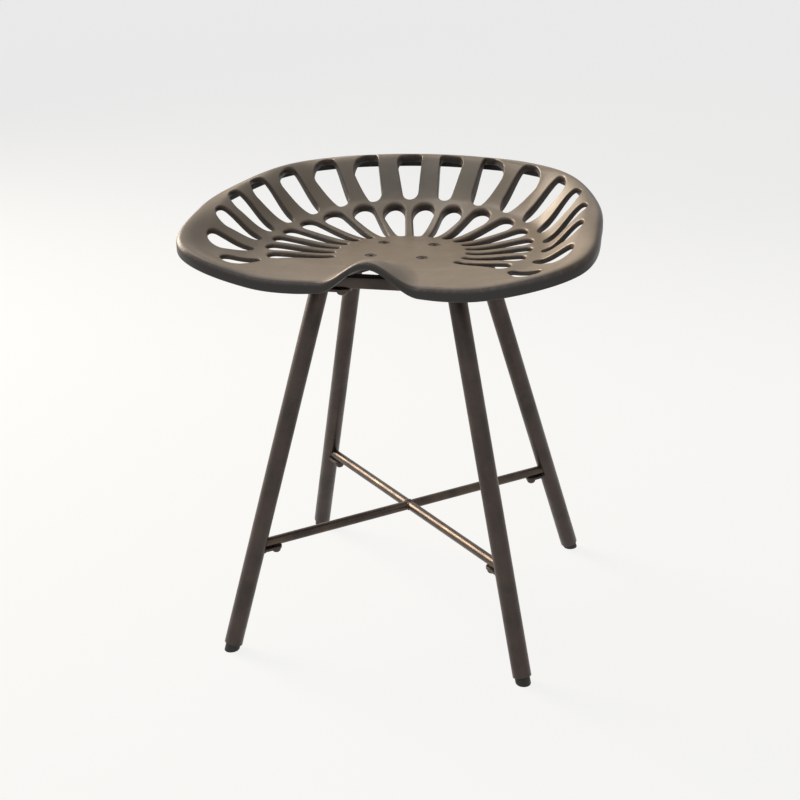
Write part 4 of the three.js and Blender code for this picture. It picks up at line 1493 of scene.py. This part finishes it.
class STOOL_OT_brace_tabs(bpy.types.Operator):
    """Makes the tabs welded to the legs under the brace bars"""

    bl_idname = "stool.brace_tabs"
    bl_label = "Brace tabs"

    def execute(self, context):
        half = settings().brace.tab_half_width
        depth_in_leg, rounding = 1.2 * MM, 0.45 * MM
        leg_steps, round_steps = 8, 16
        for side, end in CORNERS:
            corner = corner_name(side, end)
            name = f"brace_tab_{corner}"
            low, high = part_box(name)
            heading = brace_heading(side, end)
            beside = square_to(heading)
            bolt_low, bolt_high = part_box(f"brace_bolt_{corner}")
            reach = ((bolt_low + bolt_high) / 2).xy.length
            outline = []
            for offset in evenly(-half, half, leg_steps):
                place = Vector((0, 0, (low.z + high.z) / 2)) + beside * offset
                outline.append(leg_meet(place, heading, side, end, depth_in_leg).xy)
            for i in range(round_steps + 1):
                angle = math.pi / 2 + math.pi * i / round_steps
                place = heading * (reach + half * math.cos(angle)) + beside * half * math.sin(angle)
                outline.append(place.xy)
            points, faces = slab(outline, low.z, high.z, rounding)
            finished(made(name + "_plate", points, faces, shared("tube", tube_bronze)), "bronze_tube", name)
        return {"FINISHED"}


class STOOL_OT_brace_bolts(bpy.types.Operator):
    """Makes the domed bolts that hold the bars to their tabs"""

    bl_idname = "stool.brace_bolts"
    bl_label = "Brace bolts"

    def execute(self, context):
        bolt_set("brace", {
            "Shank radius": 2.5 * MM,
            "Head radius": 4.7 * MM,
            "Socket radius": 2.1 * MM,
            "Socket depth": 2.0 * MM,
            "Washer radius": 5.4 * MM,
            "Washer height": 0.8 * MM,
        })
        return {"FINISHED"}


# Welds

def weld_bead():
    """A rippled bead that follows each path of a wire mesh."""
    inputs = [("Bead radius", FLOAT, 0.0013), ("Spacing", FLOAT, 0.0007)]
    inputs += [("Ripple", FLOAT, 0.25), ("Seed", FLOAT, 3.0)]
    tree, given, out = tree_for("Weld bead", inputs)
    curve = add(tree, "GeometryNodeMeshToCurve", {"Mesh": given["Geometry"]})
    steps = {"Curve": curve.outputs[0], "Length": given["Spacing"]}
    even = add(tree, "GeometryNodeResampleCurve", steps, mode="LENGTH")
    place = tree.nodes.new("GeometryNodeInputPosition").outputs[0]
    fine = {"Vector": place, "W": given["Seed"], "Scale": 700.0, "Detail": 1.0}
    noise = add(tree, "ShaderNodeTexNoise", fine, noise_dimensions="4D")
    bumps = maths(tree, "SUBTRACT", noise.outputs[0], 0.5)
    noise_gain = 4.0
    swell = maths(tree, "MULTIPLY", bumps, maths(tree, "MULTIPLY", given["Ripple"], noise_gain))
    scale = maths(tree, "ADD", swell, 1.0)
    circle = add(tree, "GeometryNodeCurvePrimitiveCircle", {"Resolution": 10, "Radius": given["Bead radius"]})
    links = {"Curve": even.outputs[0], "Profile Curve": circle.outputs[0], "Scale": scale, "Fill Caps": True}
    swept = add(tree, "GeometryNodeCurveToMesh", links)
    return close_tree(tree, given, out, swept.outputs[0])


def wire(name, paths):
    """A mesh of edges along paths of (points, closed)."""
    points, edges = [], []
    for path, closed in paths:
        start = len(points)
        points.extend(path)
        edges.extend((start + i, start + i + 1) for i in range(len(path) - 1))
        if closed:
            edges.append((len(points) - 1, start))
    mesh = bpy.data.meshes.new(name)
    mesh.from_pydata([tuple(p) for p in points], edges, [])
    return mesh


def weld_paths():
    """Round each leg under its tab, and along each brace tab where it meets its leg."""
    proud, head_gap, half_length = 0.2 * MM, 0.5 * MM, 5.2 * MM
    ring_count, bead_steps = 48, 12
    radius = settings().legs.radius + proud
    paths = []
    for side, end in CORNERS:
        _, head, axis, across, beside = leg_axes(side, end)
        ring = [radius * spoke for spoke in spokes(across, beside, ring_count)]
        paths.append(([head + spoke - axis * (spoke.z + head_gap) / axis.z for spoke in ring], True))
        low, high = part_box(f"brace_tab_{corner_name(side, end)}")
        heading = brace_heading(side, end)
        for height in (low.z, high.z - proud):
            bead = []
            for offset in evenly(-half_length, half_length, bead_steps):
                place = Vector((0, 0, height)) + square_to(heading) * offset
                bead.append(leg_meet(place, heading, side, end, -proud))
            paths.append((bead, False))
    return paths


def crossing_paths():
    """Round the end of each half bar where it meets the through bar."""
    sizes = settings().brace
    proud, end_gap, count = 0.1 * MM, 0.2 * MM, 36
    through = brace_heading(1, 1)
    cross = square_to(through)
    paths = []
    for side, end in HALF_BAR_CORNERS:
        sign = 1 if brace_heading(side, end).dot(cross) > 0 else -1
        bead = []
        for i in range(count):
            angle = 2 * math.pi * i / count
            along, lift = sizes.radius * math.cos(angle), sizes.radius * math.sin(angle)
            away = math.sqrt(max((sizes.radius + proud) ** 2 - lift ** 2, 0)) + end_gap
            bead.append(Vector((0, 0, sizes.height + lift)) + sign * cross * away + through * along)
        paths.append((bead, True))
    return paths


class STOOL_OT_welds(bpy.types.Operator):
    """Makes the weld beads at the legs, tabs and crossing"""

    bl_idname = "stool.welds"
    bl_label = "Welds"

    def execute(self, context):
        tree = weld_bead()
        crease = math.radians(80)
        values = {"Bead radius": 1.2 * MM, "Material": shared("tube", tube_bronze)}
        piece = grown("leg_welds", tree, values, wire("leg_wire", weld_paths()), crease)
        finished(piece, "bronze_tube")
        values = {"Bead radius": 0.9 * MM, "Material": shared("bar", bar_bronze)}
        piece = grown("crossing_welds", tree, values, wire("crossing_wire", crossing_paths()), crease)
        finished(piece, "brace_bar")
        return {"FINISHED"}


# Stage

# Soft boxes: place, side, power in watts and colour
LIGHTS = {
    "key_light": ((-2.3, 1.0, 1.5), 1.3, 102, (1.0, 0.89, 0.73)),
    "top_light": ((-0.9, 0.25, 2.2), 1.0, 11, (0.98, 0.98, 0.97)),
    "fill_light": ((-0.6, -1.9, 2.4), 1.8, 12, (0.55, 0.80, 1.0)),
}
LIGHTS_AIM = Vector((0, 0, 0.3))
WORLD_LIGHT = (1.0, 0.99, 0.975)
WORLD_STRENGTH = 0.09
FLOOR_RADIUS = 12


def floor_finish(colour, glow, glow_far):
    """Matt paper that keeps the stool's shadow, and looks brighter to the camera than it lights."""
    material, tree, shader = blank_material("Floor paper")
    place = tree.nodes.new("ShaderNodeTexCoord").outputs["Object"]
    fibre_tone, far_start, far_end = 0.985, 0.5, 2.2
    fibre = add(tree, "ShaderNodeTexNoise", {"Vector": place, "Scale": 3.0, "Detail": 2.0}).outputs[0]
    behind = add(tree, "ShaderNodeSeparateXYZ", {"Vector": place}).outputs["Y"]
    reach = {"Value": behind, "From Min": far_start, "From Max": far_end}
    far = add(tree, "ShaderNodeMapRange", reach, interpolation_type="SMOOTHSTEP").outputs[0]
    feed(tree, shader, {
        "Base Color": mixed(tree, fibre, colour, [part * fibre_tone for part in colour]),
        "Roughness": 0.9,
        "Specular IOR Level": 0.1,
        "Emission Color": mixed(tree, far, glow, glow_far),
        "Emission Strength": seen_directly(tree),
    })
    return material


def seen_directly(tree):
    """1 for what the camera, a mirror or glass looks at, and 0 for the light that a surface gives off."""
    path = tree.nodes.new("ShaderNodeLightPath").outputs
    mirror_or_glass = maths(tree, "MAXIMUM", path["Is Glossy Ray"], path["Is Transmission Ray"])
    return maths(tree, "MAXIMUM", path["Is Camera Ray"], mirror_or_glass)


def soft_light(name, place, size, power, colour):
    """A square soft box that faces the stool."""
    lamp = bpy.data.lights.new(name, "AREA")
    lamp.shape = "RECTANGLE"
    lamp.size = lamp.size_y = size
    lamp.energy = power
    lamp.color = colour
    holder = linked(name, lamp)
    holder.location = place
    holder.rotation_euler = (LIGHTS_AIM - Vector(place)).to_track_quat("-Z", "Y").to_euler()


def studio_world(sky):
    """The colour that the camera and mirrors see, and a softer level of light."""
    world = bpy.data.worlds.new("Studio")
    world.use_nodes = True
    bpy.context.scene.world = world
    tree = world.node_tree
    tree.nodes.clear()
    shown = add(tree, "ShaderNodeBackground", {"Color": (*sky, 1), "Strength": 1.0})
    light = add(tree, "ShaderNodeBackground", {"Color": (*WORLD_LIGHT, 1), "Strength": WORLD_STRENGTH})
    by_ray, if_unseen, if_seen = 0, 1, 2
    links = {by_ray: seen_directly(tree), if_unseen: light.outputs[0], if_seen: shown.outputs[0]}
    mix = add(tree, "ShaderNodeMixShader", links)
    add(tree, "ShaderNodeOutputWorld", {"Surface": mix.outputs[0]})


def place_camera(stage):
    """Stands the camera back from a point on the stool's middle line and looks at it."""
    camera = bpy.data.cameras.new("camera")
    camera.lens = stage.lens
    camera.sensor_width = 36
    holder = linked("camera", camera)
    az, el = stage.azimuth, stage.elevation
    back = Vector((math.sin(az) * math.cos(el), -math.cos(az) * math.cos(el), math.sin(el)))
    right = Vector((math.cos(az), math.sin(az), 0))
    up = back.cross(right)
    rolled_right = right * math.cos(stage.roll) + up * math.sin(stage.roll)
    rolled_up = up * math.cos(stage.roll) - right * math.sin(stage.roll)
    place = Vector((0, 0, stage.aim_height)) + back * stage.distance
    place += rolled_right * stage.offset[0] + rolled_up * stage.offset[1]
    axes = Matrix((rolled_right, rolled_up, back)).transposed().to_4x4()
    holder.matrix_world = Matrix.Translation(place) @ axes
    bpy.context.scene.camera = holder


class STOOL_OT_stage(bpy.types.Operator):
    """Makes the floor, the lights and the camera"""

    bl_idname = "stool.stage"
    bl_label = "Stage"

    def execute(self, context):
        stage = settings().stage
        count = 64
        points = [FLOOR_RADIUS * spoke for spoke in spokes(Vector((1, 0, 0)), Vector((0, 1, 0)), count)]
        mesh = bpy.data.meshes.new("floor")
        mesh.from_pydata(points, [], [tuple(range(count))])
        mesh.materials.append(floor_finish(stage.floor, stage.glow, stage.glow_far))
        linked("floor", mesh)
        for name, light in LIGHTS.items():
            soft_light(name, *light)
        studio_world(stage.sky)
        place_camera(stage)
        context.scene.view_settings.view_transform = "Standard"
        return {"FINISHED"}


class StoolSettings(bpy.types.PropertyGroup):
    seat: bpy.props.PointerProperty(type=SeatSizes, name="Seat", description="Sizes of the casting")
    screws: bpy.props.PointerProperty(type=ScrewSizes, name="Seat screws", description="Sizes of the screws")
    frame: bpy.props.PointerProperty(type=FrameSizes, name="Sub-frame", description="Sizes of the rails")
    legs: bpy.props.PointerProperty(type=LegSizes, name="Legs", description="Sizes of the legs")
    brace: bpy.props.PointerProperty(type=BraceSizes, name="Brace", description="Sizes of the brace")
    finish: bpy.props.PointerProperty(type=FinishColours, name="Finishes", description="Their colours")
    stage: bpy.props.PointerProperty(type=StageSettings, name="Stage", description="Camera and studio")


OPERATORS = [
    STOOL_OT_stage,
    STOOL_OT_seat_casting,
    STOOL_OT_seat_screws,
    STOOL_OT_rails,
    STOOL_OT_leg_tabs,
    STOOL_OT_legs,
    STOOL_OT_glides,
    STOOL_OT_leg_bolts,
    STOOL_OT_brace_bars,
    STOOL_OT_brace_tabs,
    STOOL_OT_brace_bolts,
    STOOL_OT_welds,
]


class STOOL_PT_panel(bpy.types.Panel):
    """Lists the stool's sizes and its operators"""

    bl_idname = "STOOL_PT_panel"
    bl_label = "Tractor seat stool"
    bl_space_type = "VIEW_3D"
    bl_region_type = "UI"
    bl_category = "Stool"

    def draw(self, context):
        layout = self.layout
        for name in StoolSettings.__annotations__:
            column = layout.box().column()
            group_of_sizes = getattr(context.scene.stool, name)
            column.label(text=name.capitalize())
            for size in type(group_of_sizes).__annotations__:
                column.prop(group_of_sizes, size)
        for operator in OPERATORS:
            layout.operator(operator.bl_idname)


CLASSES = [
    SeatSizes,
    ScrewSizes,
    FrameSizes,
    LegSizes,
    BraceSizes,
    FinishColours,
    StageSettings,
    StoolSettings,
    *OPERATORS,
    STOOL_PT_panel,
]


def register():
    for cls in CLASSES:
        bpy.utils.register_class(cls)
    bpy.types.Scene.stool = bpy.props.PointerProperty(type=StoolSettings)


def unregister():
    del bpy.types.Scene.stool
    for cls in reversed(CLASSES):
        bpy.utils.unregister_class(cls)


def main():
    register()
    for operator in OPERATORS:
        family, name = operator.bl_idname.split(".")
        getattr(getattr(bpy.ops, family), name)()


if __name__ == "__main__":
    main()
